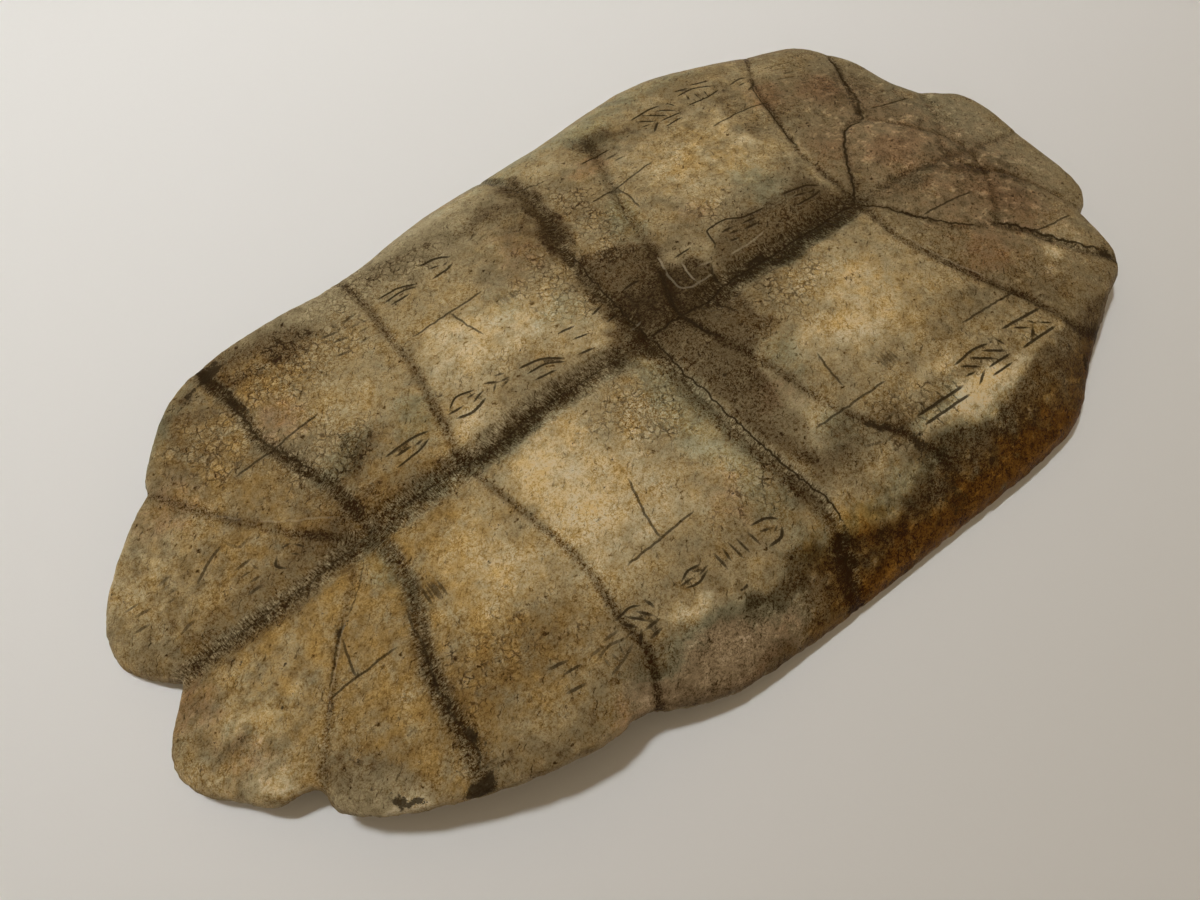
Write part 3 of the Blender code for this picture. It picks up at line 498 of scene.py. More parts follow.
# Where its cells show as a dark net.
CELL_PATCHES = (
    (-10, 18, 6, 12, 0, 1.1), (-14, -16, 8, 9, 0, 1.1), (7, 30, 6, 15, 0, 1.0),
    (-80, 28, 8, 9, 0, 1.1), (-60, -36, 13, 8, 0, 0.7), (-8, -40, 9, 8, 0, 0.6),
    (26, -10, 9, 6, 0, 1.1), (-66, 17, 8, 9, 0, 0.8), (-35, 44, 14, 5, 0, 0.9),
    (-60, 36, 13, 7, 0, 1.2), (25, -44, 9, 8, 0, 0.8), (45, -45, 20, 4, 0, 0.5),
    (4, 20, 6, 4, 0, 0.6), (-30, 10, 12, 6, 0, 0.3), (-58, 12, 6, 4, 0, 0.8),
    (28, 14, 8, 4, 0, 0.9), (-84, -30, 6, 8, 0, 0.4), (-22, -12, 12, 5, 0, 0.5),
)
# Where it is blotched and flecked.
MOTTLE_PATCHES = (
    (82, 0, 26, 44, 0, 1.2), (-98, -18, 12, 14, -30, 0.45), (-98, 14, 12, 14, 30, 0.4),
    (-30, -56, 16, 6, 0, 0.8), (38, 30, 20, 12, 0, 0.5), (0, -5, 14, 20, 0, 0.4),
    (-72, 30, 12, 18, 0, 0.4), (26, -58, 52, 8, 0, 1.2),
)
# Black spots and stains.
SOOT_SPOTS = (
    (-74.4, 43.4, 1.8, 1.6, 20, 1.1), (-78.5, 41.6, 3, 0.8, 22, 0.7), (-70.6, 44, 3, 0.8, 0, 0.7),
    (-74.6, 47, 1, 2.4, 0, 0.7), (-84, -43, 0.9, 1.4, 10, 1.0), (-81.9, -39.3, 0.5, 0.4, 0, 1.0),
    (-92.4, -38, 1.4, 0.8, -50, 0.8), (-73.2, -49.4, 2.4, 1.6, 0, 1.1),
    (-83.2, -45.4, 1.4, 0.7, -30, 0.7), (-22, -50.2, 1.6, 0.4, 0, 0.6),
    (66.5, -55.4, 1.3, 2.4, -20, 0.5), (-71, -44, 1.3, 4, 10, 0.5), (23, -60, 3, 4, 0, 0.4),
    (1, -54, 2.2, 4, 0, 0.4), (92, -42, 2, 1.4, -30, 0.7), (18, -43, 1, 2.2, 40, 0.8),
    (22, -49, 2, 4, -30, 0.6), (2.2, -18.4, 0.35, 0.35, 0, 1.1), (-91.2, -18.8, 0.35, 0.3, 0, 0.8),
    (83, -32.4, 2, 0.8, 10, 0.6), (87, -36.4, 1.4, 0.4, 10, 0.6), (4, 47, 3, 2, 30, 0.3),
    (-72.4, 35, 0.8, 4, 5, 0.6), (-78, -14.6, 1.5, 0.9, 45, 0.5), (95, -46, 4, 2, -30, 0.4),
    (26, -2.6, 3, 0.7, 0, 0.6), (-66.6, -18.6, 3, 2, 0, 0.25),
)


# ---------------------------------------------------------------------- plan geometry

def smooth_curve(points, step):
    """Points about a step apart on a smooth curve that passes through the given ones."""
    points = np.array(points, float)
    ends = np.vstack([2 * points[0] - points[1], points, 2 * points[-1] - points[-2]])
    curve = []
    for before, start, end, after in zip(ends, ends[1:], ends[2:], ends[3:]):
        count = max(1, round(np.linalg.norm(end - start) / step))
        t = np.arange(count)[:, None] / count
        curve.append(0.5 * (2 * start + (end - before) * t
                            + (2 * before - 5 * start + 4 * end - after) * t ** 2
                            + (3 * start - before - 3 * end + after) * t ** 3))
    return np.vstack(curve + [points[-1:]])


def along(stations, x, column=1):
    """A smooth value at each x, through the values that the stations give."""
    places = np.array([station[0] for station in stations], float)
    values = np.array([station[column] for station in stations], float)
    slopes = np.gradient(values, places)
    x = np.clip(x, places[0], places[-1])
    i = np.clip(np.searchsorted(places, x) - 1, 0, len(places) - 2)
    width = places[i + 1] - places[i]
    t = (x - places[i]) / width
    return (values[i] * (1 + 2 * t) * (1 - t) ** 2 + values[i + 1] * t ** 2 * (3 - 2 * t)
            + width * slopes[i] * t * (1 - t) ** 2 - width * slopes[i + 1] * t ** 2 * (1 - t))


def rim_curve(step):
    """The closed rim, anticlockwise from the tail notch as seen from above."""
    following = RIM_RUNS[1:] + RIM_RUNS[:1]
    return np.vstack([smooth_curve(run + (after[0],), step)[:-1]
                      for run, after in zip(RIM_RUNS, following)])


def beside(line, points, reach):
    """For each point, its distance from a line, how far along it lies and how far to its left.

    A point further off than the reach keeps an endless distance.
    """
    away = np.full(len(points), np.inf)
    run = np.zeros(len(points))
    left = np.zeros(len(points))
    order = np.argsort(points[:, 0])
    sorted_x = points[order, 0]
    done = 0.0
    for start, end in zip(line, line[1:]):
        length = max(float(np.linalg.norm(end - start)), 1e-9)
        first, last = np.searchsorted(sorted_x, (min(start[0], end[0]) - reach,
                                                 max(start[0], end[0]) + reach))
        near = order[first:last]
        offset = points[near] - start
        ahead = (end - start) / length
        close = np.abs(offset[:, 1] - (end - start)[1] / 2) < reach + abs((end - start)[1]) / 2
        near, offset = near[close], offset[close]
        t = np.clip(offset @ ahead, 0, length)
        gap = np.linalg.norm(offset - t[:, None] * ahead, axis=1)
        better = gap < np.minimum(away[near], reach)
        chosen = near[better]
        away[chosen] = gap[better]
        run[chosen] = done + t[better]
        left[chosen] = ahead[0] * offset[better, 1] - ahead[1] * offset[better, 0]
        done += length
    return away, run, left


# Spacing of the points on lines that distances are measured from.
COARSE_STEP = 2.0
SEAM_STEP = 1.5
COARSE_RIM = rim_curve(COARSE_STEP)
COARSE_RIM = np.vstack([COARSE_RIM, COARSE_RIM[:1]])


def from_rim(points):
    """The distance of each point in from the rim, up to the reach of the bridges' turn."""
    return np.minimum(beside(COARSE_RIM, points, INWARD_REACH)[0], INWARD_REACH)


def plate_height(points, inward):
    """The broad form of the carved face: arched along X, bent down at both sides."""
    x, y = points.T
    middle = along(MIDLINE_HEIGHT, x)
    shoulder = along(SHOULDER_HEIGHT, x)
    side = np.minimum(np.abs(y) / SHOULDER_SIDE, SHOULDER_LIMIT) ** SHOULDER_POWER
    height = middle + (shoulder - middle) * side
    for turn, power, here in ((NEAR_TURN, NEAR_TURN_POWER, y < 0),
                              (FAR_TURN, FAR_TURN_POWER, y >= 0)):
        reach = along(turn, x, 1)
        drop = along(turn, x, 2)
        height = height - here * drop * np.clip(1 - inward / reach, 0, 1) ** power
    return height


def thickness(points):
    """Upright thickness, more where the face is steep so that the wall stays even."""
    slope = 0
    for step in ((SLOPE_STEP, 0), (0, SLOPE_STEP)):
        ahead, behind = points + step, points - step
        rise = plate_height(ahead, from_rim(ahead)) - plate_height(behind, from_rim(behind))
        slope = slope + (rise / (2 * SLOPE_STEP)) ** 2
    return BONE_THICKNESS * np.minimum(np.sqrt(1 + slope), STEEPEST_THICKENING)


def rounded(inward):
    """How far the worn rim has turned, from 1 at the edge to 0 inside it."""
    t = np.clip(1 - inward / RIM_ROUNDING, 0, 1)
    return 1 - np.sqrt(1 - t ** 2)


def inside(rim, points):
    """Which points lie inside a closed outline."""
    order = np.argsort(points[:, 1])
    sorted_y = points[order, 1]
    within = np.zeros(len(points), bool)
    for start, end in zip(rim, np.roll(rim, -1, axis=0)):
        if start[1] == end[1]:
            continue
        first, last = np.searchsorted(sorted_y, (min(start[1], end[1]), max(start[1], end[1])))
        level = order[first:last]
        slant = (end[0] - start[0]) / (end[1] - start[1])
        crossing = start[0] + (points[level, 1] - start[1]) * slant
        within[level] ^= points[level, 0] < crossing
    return within


def inset(rim, distance, step):
    """Points about a step apart at one distance inside the rim."""
    after, before = np.roll(rim, -1, axis=0), np.roll(rim, 1, axis=0)
    ahead = (after - before) / np.linalg.norm(after - before, axis=1, keepdims=True)
    ring = rim + distance * np.stack([-ahead[:, 1], ahead[:, 0]], axis=1)
    ring = ring[inside(rim, ring)]
    ring = ring[from_rim(ring) > RING_SHARE * distance - RING_SLACK]
    return thinned(ring, step)


def thinned(points, gap):
    """The points, with each one left out that falls in a cell already taken."""
    cells = np.floor(points / gap).astype(int)
    _, first = np.unique(cells, axis=0, return_index=True)
    return points[np.sort(first)]


def clear_of(kept, points, gap):
    """The points that lie further than a gap from every kept one."""
    tree = kdtree.KDTree(len(kept))
    for i, point in enumerate(kept):
        tree.insert((point[0], point[1], 0.0), i)
    tree.balance()
    return points[[tree.find((x, y, 0.0))[2] > gap for x, y in points]]


def soft_patch(points, patches):
    """The summed strength of the patches at each point, each fading out from its middle."""
    total = np.zeros(len(points))
    for x, y, half_x, half_y, turn, strength in patches:
        c, s = math.cos(math.radians(turn)), math.sin(math.radians(turn))
        u = ((points[:, 0] - x) * c + (points[:, 1] - y) * s) / half_x
        v = ((points[:, 1] - y) * c - (points[:, 0] - x) * s) / half_y
        total += strength * np.exp(-(u ** 2 + v ** 2) ** PATCH_EDGE)
    return total


# The grid that random unevenness is drawn on, and the pitches and sways of a ragged edge.
KNOTS = 97
KNOT_START = 31.7
RAGGED_BY = ((6.0, 1.5), (2.4, 0.9), (1.1, 0.5))


def unevenness(points, pitch, rng):
    """A smooth random value from -1 to 1 at each point, changing over the given distance."""
    knots = rng.uniform(-1, 1, (KNOTS, KNOTS))
    u = points / pitch + KNOT_START
    cell = np.floor(u).astype(int)
    share = u - cell
    share = share * share * (3 - 2 * share)
    a, b = cell[:, 0] % KNOTS, cell[:, 1] % KNOTS
    c, d = (a + 1) % KNOTS, (b + 1) % KNOTS
    low = knots[a, b] * (1 - share[:, 0]) + knots[c, b] * share[:, 0]
    high = knots[a, d] * (1 - share[:, 0]) + knots[c, d] * share[:, 0]
    return low * (1 - share[:, 1]) + high * share[:, 1]


def ragged(points, rng):
    """The points, each moved a little at random, so that what is placed by them ends unevenly."""
    moved = points.copy()
    for pitch, sway in RAGGED_BY:
        for axis in (0, 1):
            moved[:, axis] += sway * unevenness(points, pitch, rng)
    return moved


def panel_strength(points, panels):
    """The most that any panel gives at each point, each fading across its outline."""
    total = np.zeros(len(points))
    for strength, soft, outline in panels:
        outline = np.array(outline, float)
        closed = np.vstack([outline, outline[:1]])
        depth = np.minimum(beside(closed, points, soft)[0], soft)
        depth = np.where(inside(outline, points), depth, -depth)
        share = np.clip(0.5 + depth / (2 * soft), 0, 1)
        total = np.maximum(total, strength * share ** 2 * (3 - 2 * share))
    return total


# --------------------------------------------------------------------------- the marks

# How each kind of mark wanders: how far from side to side, and over what distance.
CUT_SWAY, CUT_PITCH = 0.05, 1.2
CRACK_SWAY, CRACK_PITCH = 0.14, 1.1
SUTURE_PITCH = 0.7
PALE_SWAY, PALE_PITCH = 0.15, 1.2

# How unsteady the carver's hand is, and between which shares of their size the widths and
# depths of the cuts vary.
UNSTEADY = 0.1
CUT_WIDTHS = (0.8, 1.15)
CUT_DEPTHS = (0.8, 1.1)

# How dark the heat cracks are, how deep a suture is for its half width, and the half width
# and depth of a pale stroke.
CRACK_INK = 0.75
SUTURE_DEPTH = 0.9
PALE_HALF_WIDTH, PALE_DEPTH = 0.2, 0.04

# Over how many points a mark's end tapers, and its width, depth and ink at the end.
TAPER_POINTS = 2.5
END_WIDTH, END_DEPTH, END_INK = 0.55, 0.2, 0.5


def from_notch(points):
    """Places measured from the middle of the box, as places measured from the tail notch."""
    return np.array(points, float) - NOTCH


def across_of(line):
    """The direction to the left of a line at each of its points."""
    ahead = np.gradient(line, axis=0)
    ahead /= np.linalg.norm(ahead, axis=1, keepdims=True)
    return np.stack([-ahead[:, 1], ahead[:, 0]], axis=1)


def wandering(line, step, sway, pitch, rng):
    """A line resampled and thrown from side to side, as a crack or a toothed suture runs."""
    line = smooth_curve(line, step)
    knots = rng.uniform(-1, 1, max(3, int(len(line) * step / pitch) + 2))
    offset = np.interp(np.linspace(0, len(knots) - 1, len(line)), np.arange(len(knots)), knots)
    return line + (offset * sway)[:, None] * across_of(line)


def mark_lines(sizes):
    """Every cut, crack and open suture, and the pale lips that are partly painted highlights: (points
    from the notch, half width, depth, ink).
    """
    rng = np.random.default_rng(sizes.seed)
    step = sizes.mark_step
    marks = []
    for x, y, wide, tall, turn, pattern, ink in STROKE_GROUPS:
        c, s = math.cos(math.radians(turn)), math.sin(math.radians(turn))
        for stroke in PATTERNS[pattern]:
            u = np.array(stroke, float) * (wide / 2, tall / 2)
            u += rng.normal(0, UNSTEADY, u.shape)
            line = np.stack([x + u[:, 0] * c - u[:, 1] * s, y + u[:, 0] * s + u[:, 1] * c], axis=1)
            line = wandering(from_notch(line), step, CUT_SWAY, CUT_PITCH, rng)
            width = sizes.cut_width / 2 * rng.uniform(*CUT_WIDTHS)
            marks.append((line, width, sizes.cut_depth * rng.uniform(*CUT_DEPTHS), ink))
    for main, branch in HEAT_CRACKS:
        for run in (main, branch):
            if run:
                line = wandering(from_notch(run), step, CRACK_SWAY, CRACK_PITCH, rng)
                marks.append((line, sizes.crack_width / 2, sizes.crack_depth, CRACK_INK))
    for run, sway, half_width, ink in OPEN_SUTURES:
        line = wandering(from_notch(run), step, sway, SUTURE_PITCH, rng)
        marks.append((line, half_width, SUTURE_DEPTH * half_width, ink))
    # the pale lips, partly wear and partly painted highlights, get a negative ink that lays pale
    # colour
    for paleness, run in PALE_LIPS_AND_HIGHLIGHTS:
        line = wandering(from_notch(run), step, PALE_SWAY, PALE_PITCH, rng)
        marks.append((line, PALE_HALF_WIDTH, PALE_DEPTH, -paleness))
    return marks


def marks_object(marks):
    """The marks as plain edges lying in the plan, each point with its width, depth and ink."""
    points, edges, widths, depths, inks = [], [], [], [], []
    for line, width, depth, ink in marks:
        first = len(points)
        places = (line + NOTCH) * MM
        points.extend((x, y, 0.0) for x, y in places)
        edges.extend((first + i, first + i + 1) for i in range(len(line) - 1))
        from_start = np.arange(len(line))
        taper = np.clip(np.minimum(from_start, from_start[::-1]) / TAPER_POINTS, 0, 1)
        widths.extend(width * MM * (END_WIDTH + (1 - END_WIDTH) * taper))
        depths.extend(depth * MM * (END_DEPTH + (1 - END_DEPTH) * taper))
        inks.extend(ink * (END_INK + (1 - END_INK) * taper))
    mesh = bpy.data.meshes.new("mark lines")
    mesh.from_pydata(points, edges, [])
    for name, values in (("half_width", widths), ("depth", depths), ("ink", inks)):
        store(mesh, name, values)
    return bpy.data.objects.new("mark lines", mesh)


def store(mesh, name, values):
    """Keeps a value at each of the mesh's points under a name."""
    attribute = mesh.attributes.new(name, "FLOAT", "POINT")
    attribute.data.foreach_set("value", np.ascontiguousarray(values, dtype=np.float32))


# ------------------------------------------------------------------------ the fine mesh

# Rings of points inside the rim on the carved face, and how close along a ring they are as
# a share of the face's step. The plates' points start this share of a step inside the last.
RIM_RINGS = (0.12, 0.35, 0.7, 1.15, 1.7, 2.3)
RING_SPACING = 0.8
PLATES_START = 0.45

# Rings inside the rim on the inner face: distance in and spacing, and where the rest starts.
INNER_RINGS = ((0.12, 0.6), (0.4, 0.7), (0.9, 0.9), (1.7, 1.2), (3.0, 1.6))
INNER_START = 3.9

# A ring's point is dropped where another side of the rim lies closer than this share of its
# distance, less a little.
RING_SHARE = 0.93
RING_SLACK = 0.02

# The smallest gap between points of the rings, of the marks, and from a mark to the rest.
RING_GAP = 0.16
MARK_GAP = 0.2
CLEAR_GAP = 0.3
MARKS_START = 2.4

# Where the carved face begins in from the rim, and how brown the plain inner face is.
FACE_START = 1.2
INNER_BROWN = 0.4


def staggered(step, low, high):
    """Even staggered rows of points, and which of them belong to the rows of twice the step."""
    rows, coarse = [], []
    height = step * math.sqrt(3) / 2
    for i in range(int((high[1] - low[1]) / height) + 1):
        x = np.arange(int((high[0] - low[0]) / step) + 1)
        rows.append(np.stack([low[0] + (x + 0.5 * (i % 2)) * step,
                              np.full(len(x), low[1] + i * height)], axis=1))
        coarse.append((i % 2 == 0) & ((x + i // 2) % 2 == 0))
    return np.vstack(rows), np.concatenate(coarse)


def face_points(rim, marks, sizes):
    """Where the carved face has its points: rim rings, marks, rough bands, then the plates."""
    step = sizes.face_step
    rings = np.vstack([inset(rim, distance, step * RING_SPACING) for distance in RIM_RINGS])
    rings = thinned(rings, RING_GAP)
    lines = []
    for line, width, _, _ in marks:
        across = across_of(line)
        lines.extend((line, line + width * across, line - width * across))
    lines = thinned(np.vstack(lines), MARK_GAP)
    lines = lines[inside(rim, lines)]
    lines = lines[from_rim(lines) > MARKS_START]
    points, coarse = staggered(step / 2, rim.min(0), rim.max(0))
    wanted = coarse.copy()
    for line, reach in ROUGH_BANDS:
        wanted |= beside(smooth_curve(line, COARSE_STEP), points, reach)[0] < reach
    points = points[wanted]
    points = points[inside(rim, points)]
    points = points[from_rim(points) > RIM_RINGS[-1] + PLATES_START * step]
    points = clear_of(lines, points, CLEAR_GAP)
    return np.vstack([rings, lines, points])


def inner_points(rim, sizes):
    """Where the plain inner face has its points."""
    rings = [inset(rim, distance, step) for distance, step in INNER_RINGS]
    points, coarse = staggered(sizes.inner_step / 2, rim.min(0), rim.max(0))
    points = points[coarse]
    points = points[inside(rim, points)]
    points = points[from_rim(points) > INNER_START]
    return np.vstack(rings + [points])


def triangles_over(rim, points):
    """Triangles that fill the rim through its own points and the given ones."""
    everything = np.vstack([rim, points])
    edges = [(i, (i + 1) % len(rim)) for i in range(len(rim))]
    _, _, faces, came_from, _, _ = delaunay_2d_cdt(
        [Vector(point) for point in everything], edges, [], 1, 1e-6)
    first = np.array([whence[0] if whence else -1 for whence in came_from])
    faces = first[np.array(faces)]
    return faces[(faces >= 0).all(1)]


def line_fields(points):
    """What the lines give each point of the carved face, by name: how deep it is sunk, the
    dirt and hairs there, and where it lies along and beside the nearest line."""
    groove = np.zeros(len(points))
    hollow = np.zeros(len(points))
    dirt = np.zeros(len(points))
    hairs = np.zeros(len(points))
    run = np.zeros(len(points))
    left = np.full(len(points), NO_LINE_NEAR)
    for number, (line, sunk, dirt_width, dirt_dark, shift, drawn) in enumerate(FACE_LINES):
        half_width, depth, reach, sink = sunk
        away, here, side = beside(smooth_curve(line, SEAM_STEP), points, LINE_REACH)
        if sunk is MIDLINE_TROUGH:
            wall = np.clip((TROUGH_EDGE - away / half_width) / TROUGH_WALL, 0, 1)
            groove = np.maximum(groove, depth * wall ** 2 * (3 - 2 * wall))
        else:
            groove = np.maximum(groove, depth * np.clip(1 - away / half_width, 0, 1))
        hollow = np.maximum(hollow, sink * np.exp(-(away / reach) ** 2))
        side_away = np.where(side < 0, -1, 1) * np.minimum(away, ENDLESS)
        off = np.abs((side_away - shift) / dirt_width)
        dirt = np.maximum(dirt, dirt_dark * np.exp(-off ** DIRT_EDGE))
        hairs = np.maximum(hairs, drawn * np.exp(-(off / HAIR_REACH) ** HAIR_EDGE))
        closer = away < np.abs(left)
        run[closer] = here[closer] + RUN_APART * number
        left[closer] = side_away[closer]
    return {"groove": groove, "hollow": hollow, "dirt": dirt, "hairs": hairs,
            "seam_run": run, "seam_left": left}


def upper_heights(upper, lines):
    """The carved face's height at each of its points, with its lines sunk and its rim worn."""
    inward = from_rim(upper)
    carved = lines["groove"] + lines["hollow"]
    carved = carved * np.clip(inward / GROOVE_FADE, GROOVE_AT_RIM, 1)
    return plate_height(upper, inward) - carved - rounded(inward) * thickness(upper) / 2


def lower_heights(lower):
    """The plain inner face's height at each of its points, never below the table."""
    inward = from_rim(lower)
    wall = thickness(lower)
    heights = plate_height(lower, inward) - wall + rounded(inward) * wall / 2
    return np.maximum(heights, -LIFT)


def store_finish(mesh, rim, upper, lower, lines, rng):
    """Keeps at each of the plate's points what its carving and its finish are made from."""
    count = len(rim) + len(upper) + len(lower)
    middle = slice(len(rim), len(rim) + len(upper))

    def whole(values, elsewhere=0.0):
        """The carved face's values, with one value everywhere else."""
        spread = np.full(count, float(elsewhere))
        spread[middle] = values
        return spread

    inward = from_rim(upper)
    store(mesh, "face_up", whole(np.clip(inward / FACE_START, 0, 1)))
    store(mesh, "rim_gap", np.concatenate([np.zeros(len(rim)), inward, from_rim(lower)]))
    for name in ("dirt", "hairs", "seam_run"):
        store(mesh, name, whole(lines[name]))
    store(mesh, "seam_left", whole(lines["seam_left"], NO_LINE_NEAR))
    bristle = np.zeros(len(upper))
    for line, reach in ROUGH_BANDS:
        away = beside(smooth_curve(line, COARSE_STEP), upper, reach + BAND_BEYOND)[0]
        bristle = np.maximum(bristle, np.exp(-(away / reach) ** BAND_EDGE))
    store(mesh, "bristle", whole(bristle))
    uneven = ragged(upper + NOTCH, rng)
    store(mesh, "brown", whole(panel_strength(uneven, BROWN_PANELS), INNER_BROWN))
    for name, patches in (("tone", TONE_PATCHES), ("amber", AMBER_PATCHES), ("rose", ROSE_PATCHES),
                          ("grey", GREY_PATCHES), ("cells", CELL_PATCHES), ("soot", SOOT_SPOTS),
                          ("mottle", MOTTLE_PATCHES)):
        store(mesh, name, whole(soft_patch(uneven, patches)))


def fine_plate(sizes, marks):
    """The plate's closed fine mesh before it is carved, with what each point is made of."""
    rim = rim_curve(sizes.face_step * RING_SPACING)
    upper = face_points(rim, marks, sizes)
    lower = inner_points(rim, sizes)
    lines = line_fields(upper)
    rim_heights = plate_height(rim, np.zeros(len(rim))) - thickness(rim) / 2

    faces_up = triangles_over(rim, upper)
    faces_down = triangles_over(rim, lower)[:, ::-1]
    faces_down = np.where(faces_down < len(rim), faces_down, faces_down + len(upper))
    places = np.vstack([rim, upper, lower]) + NOTCH
    heights = np.concatenate([rim_heights, upper_heights(upper, lines), lower_heights(lower)])
    vertices = np.column_stack([places, heights + LIFT]) * MM
    mesh = bpy.data.meshes.new("plate form")
    mesh.from_pydata(vertices, [], np.vstack([faces_up, faces_down]))
    mesh.shade_smooth()
    store_finish(mesh, rim, upper, lower, lines, np.random.default_rng(sizes.seed))
    return mesh


# ----------------------------------------------------------------------- node building

class Value:
    """An output socket whose sums, products and powers add Math nodes to its tree."""

    def __init__(self, maker, socket):
        self.maker = maker
        self.socket = socket

    def _sum(self, operation, *others):
        """A Math node over the given values."""
        return self.maker.node("ShaderNodeMath", {"operation": operation}, dict(enumerate(others)))

    def __add__(self, other):
        return self._sum("ADD", self, other)

    __radd__ = __add__

    def __sub__(self, other):
        return self._sum("SUBTRACT", self, other)

    def __rsub__(self, other):
        return self._sum("SUBTRACT", other, self)

    def __mul__(self, other):
        return self._sum("MULTIPLY", self, other)

    __rmul__ = __mul__

    def __truediv__(self, other):
        return self._sum("DIVIDE", self, other)

    def __pow__(self, other):
        return self._sum("POWER", self, other)

    def __abs__(self):
        return self._sum("ABSOLUTE", self)

    def least(self, other):
        """The lesser of this value and another."""
        return self._sum("MINIMUM", self, other)

    def most(self, other):
        """The greater of this value and another."""
        return self._sum("MAXIMUM", self, other)

    def between(self, low, high):
        """This value's place from 0 to 1 between two limits, eased and held inside them."""
        settings = {"interpolation_type": "SMOOTHSTEP", "clamp": True}
        return self.maker.node("ShaderNodeMapRange", settings,
                               {"Value": self, "From Min": low, "From Max": high})


class Maker:
    """Adds nodes to one tree, from a node's type, its settings and its sockets' values."""

    def __init__(self, tree):
        self.tree = tree

    def node(self, kind, settings=None, sockets=None, output=0):
        """One node, its settings set first, as the value of one of its outputs."""
        node = self.tree.nodes.new(kind)
        for name, value in (settings or {}).items():
            if name == "stops":
                ramp = node.color_ramp
                while len(ramp.elements) < len(value):
                    ramp.elements.new(0.5)
                for element, (place, colour) in zip(ramp.elements, value):
                    element.position = place
                    element.color = colour
            else:
                setattr(node, name, value)
        for name, value in (sockets or {}).items():
            if isinstance(value, Value):
                self.tree.links.new(value.socket, node.inputs[name])
            else:
                node.inputs[name].default_value = value
        return Value(self, node.outputs[output])

    def all_of(self, value):
        """Every output of the node that a value comes from, by name."""
        return {socket.name: Value(self, socket) for socket in value.socket.node.outputs}

    def noise(self, place, scale, detail, rough=0.5, output=0):
        """A noise texture, read as its value or, from output 1, as its colour."""
        return self.node("ShaderNodeTexNoise", None, {
            "Vector": place, "Scale": scale, "Detail": detail, "Roughness": rough}, output)

    def voronoi(self, place, scale, feature):
        """A cell texture: the distance to a cell's edge, or to its middle."""
        return self.node("ShaderNodeTexVoronoi", {"feature": feature},
                         {"Vector": place, "Scale": scale})

    def colour_mix(self, factor, first, second, blend="MIX"):
        """Two colours mixed by a factor, or the second laid over the first by a blend."""
        # the Mix node's colours are its sockets 6 and 7, and its output 2
        return self.node("ShaderNodeMix", {"data_type": "RGBA", "blend_type": blend},
                         {0: factor, 6: first, 7: second}, 2)

    def stretched(self, place, by):
        """A place multiplied axis by axis."""
        return self.node("ShaderNodeVectorMath", {"operation": "MULTIPLY"}, {0: place, 1: by})

    def moved(self, place, by):
        """A place moved by a vector."""
        return self.node("ShaderNodeVectorMath", {"operation": "ADD"}, {0: place, 1: by})

    def in_mm(self, place):
        """A place in metres as millimetres."""
        return self.stretched(place, (MM_PER_METRE, MM_PER_METRE, MM_PER_METRE))

    def place_of(self, x, y, z=0.0):
        """A place made of three values."""
        return self.node("ShaderNodeCombineXYZ", None, {"X": x, "Y": y, "Z": z})

    def axes_of(self, place):
        """The three values of a place, by axis."""
        return self.all_of(self.node("ShaderNodeSeparateXYZ", None, {0: place}))

    def field(self, name):
        """A value that the mesh carries at its points, in a material."""
        # the Attribute node's plain number is its output 2
        return self.node("ShaderNodeAttribute", {"attribute_name": name}, None, 2)

    def named(self, name):
        """A value that the mesh carries at its points, in a geometry tree."""
        return self.node("GeometryNodeInputNamedAttribute", {"data_type": "FLOAT"}, {"Name": name})


# ------------------------------------------------------------------- carving the face

def nearest_mark(maker, marks, plan):
    """How far the nearest mark lies from each point, and that mark's width, depth and ink."""
    gap = maker.all_of(maker.node("GeometryNodeProximity", {"target_element": "EDGES"},
                                  {"Target": marks, "Sample Position": plan}))["Distance"]
    which = maker.node("GeometryNodeSampleNearest", {"domain": "POINT"},
                       {"Geometry": marks, "Sample Position": plan})
    carried = [maker.node("GeometryNodeSampleIndex", {"data_type": "FLOAT", "domain": "POINT"},
                          {"Geometry": marks, "Value": maker.named(name), "Index": which})
               for name in ("half_width", "depth", "ink")]
    return gap, *carried


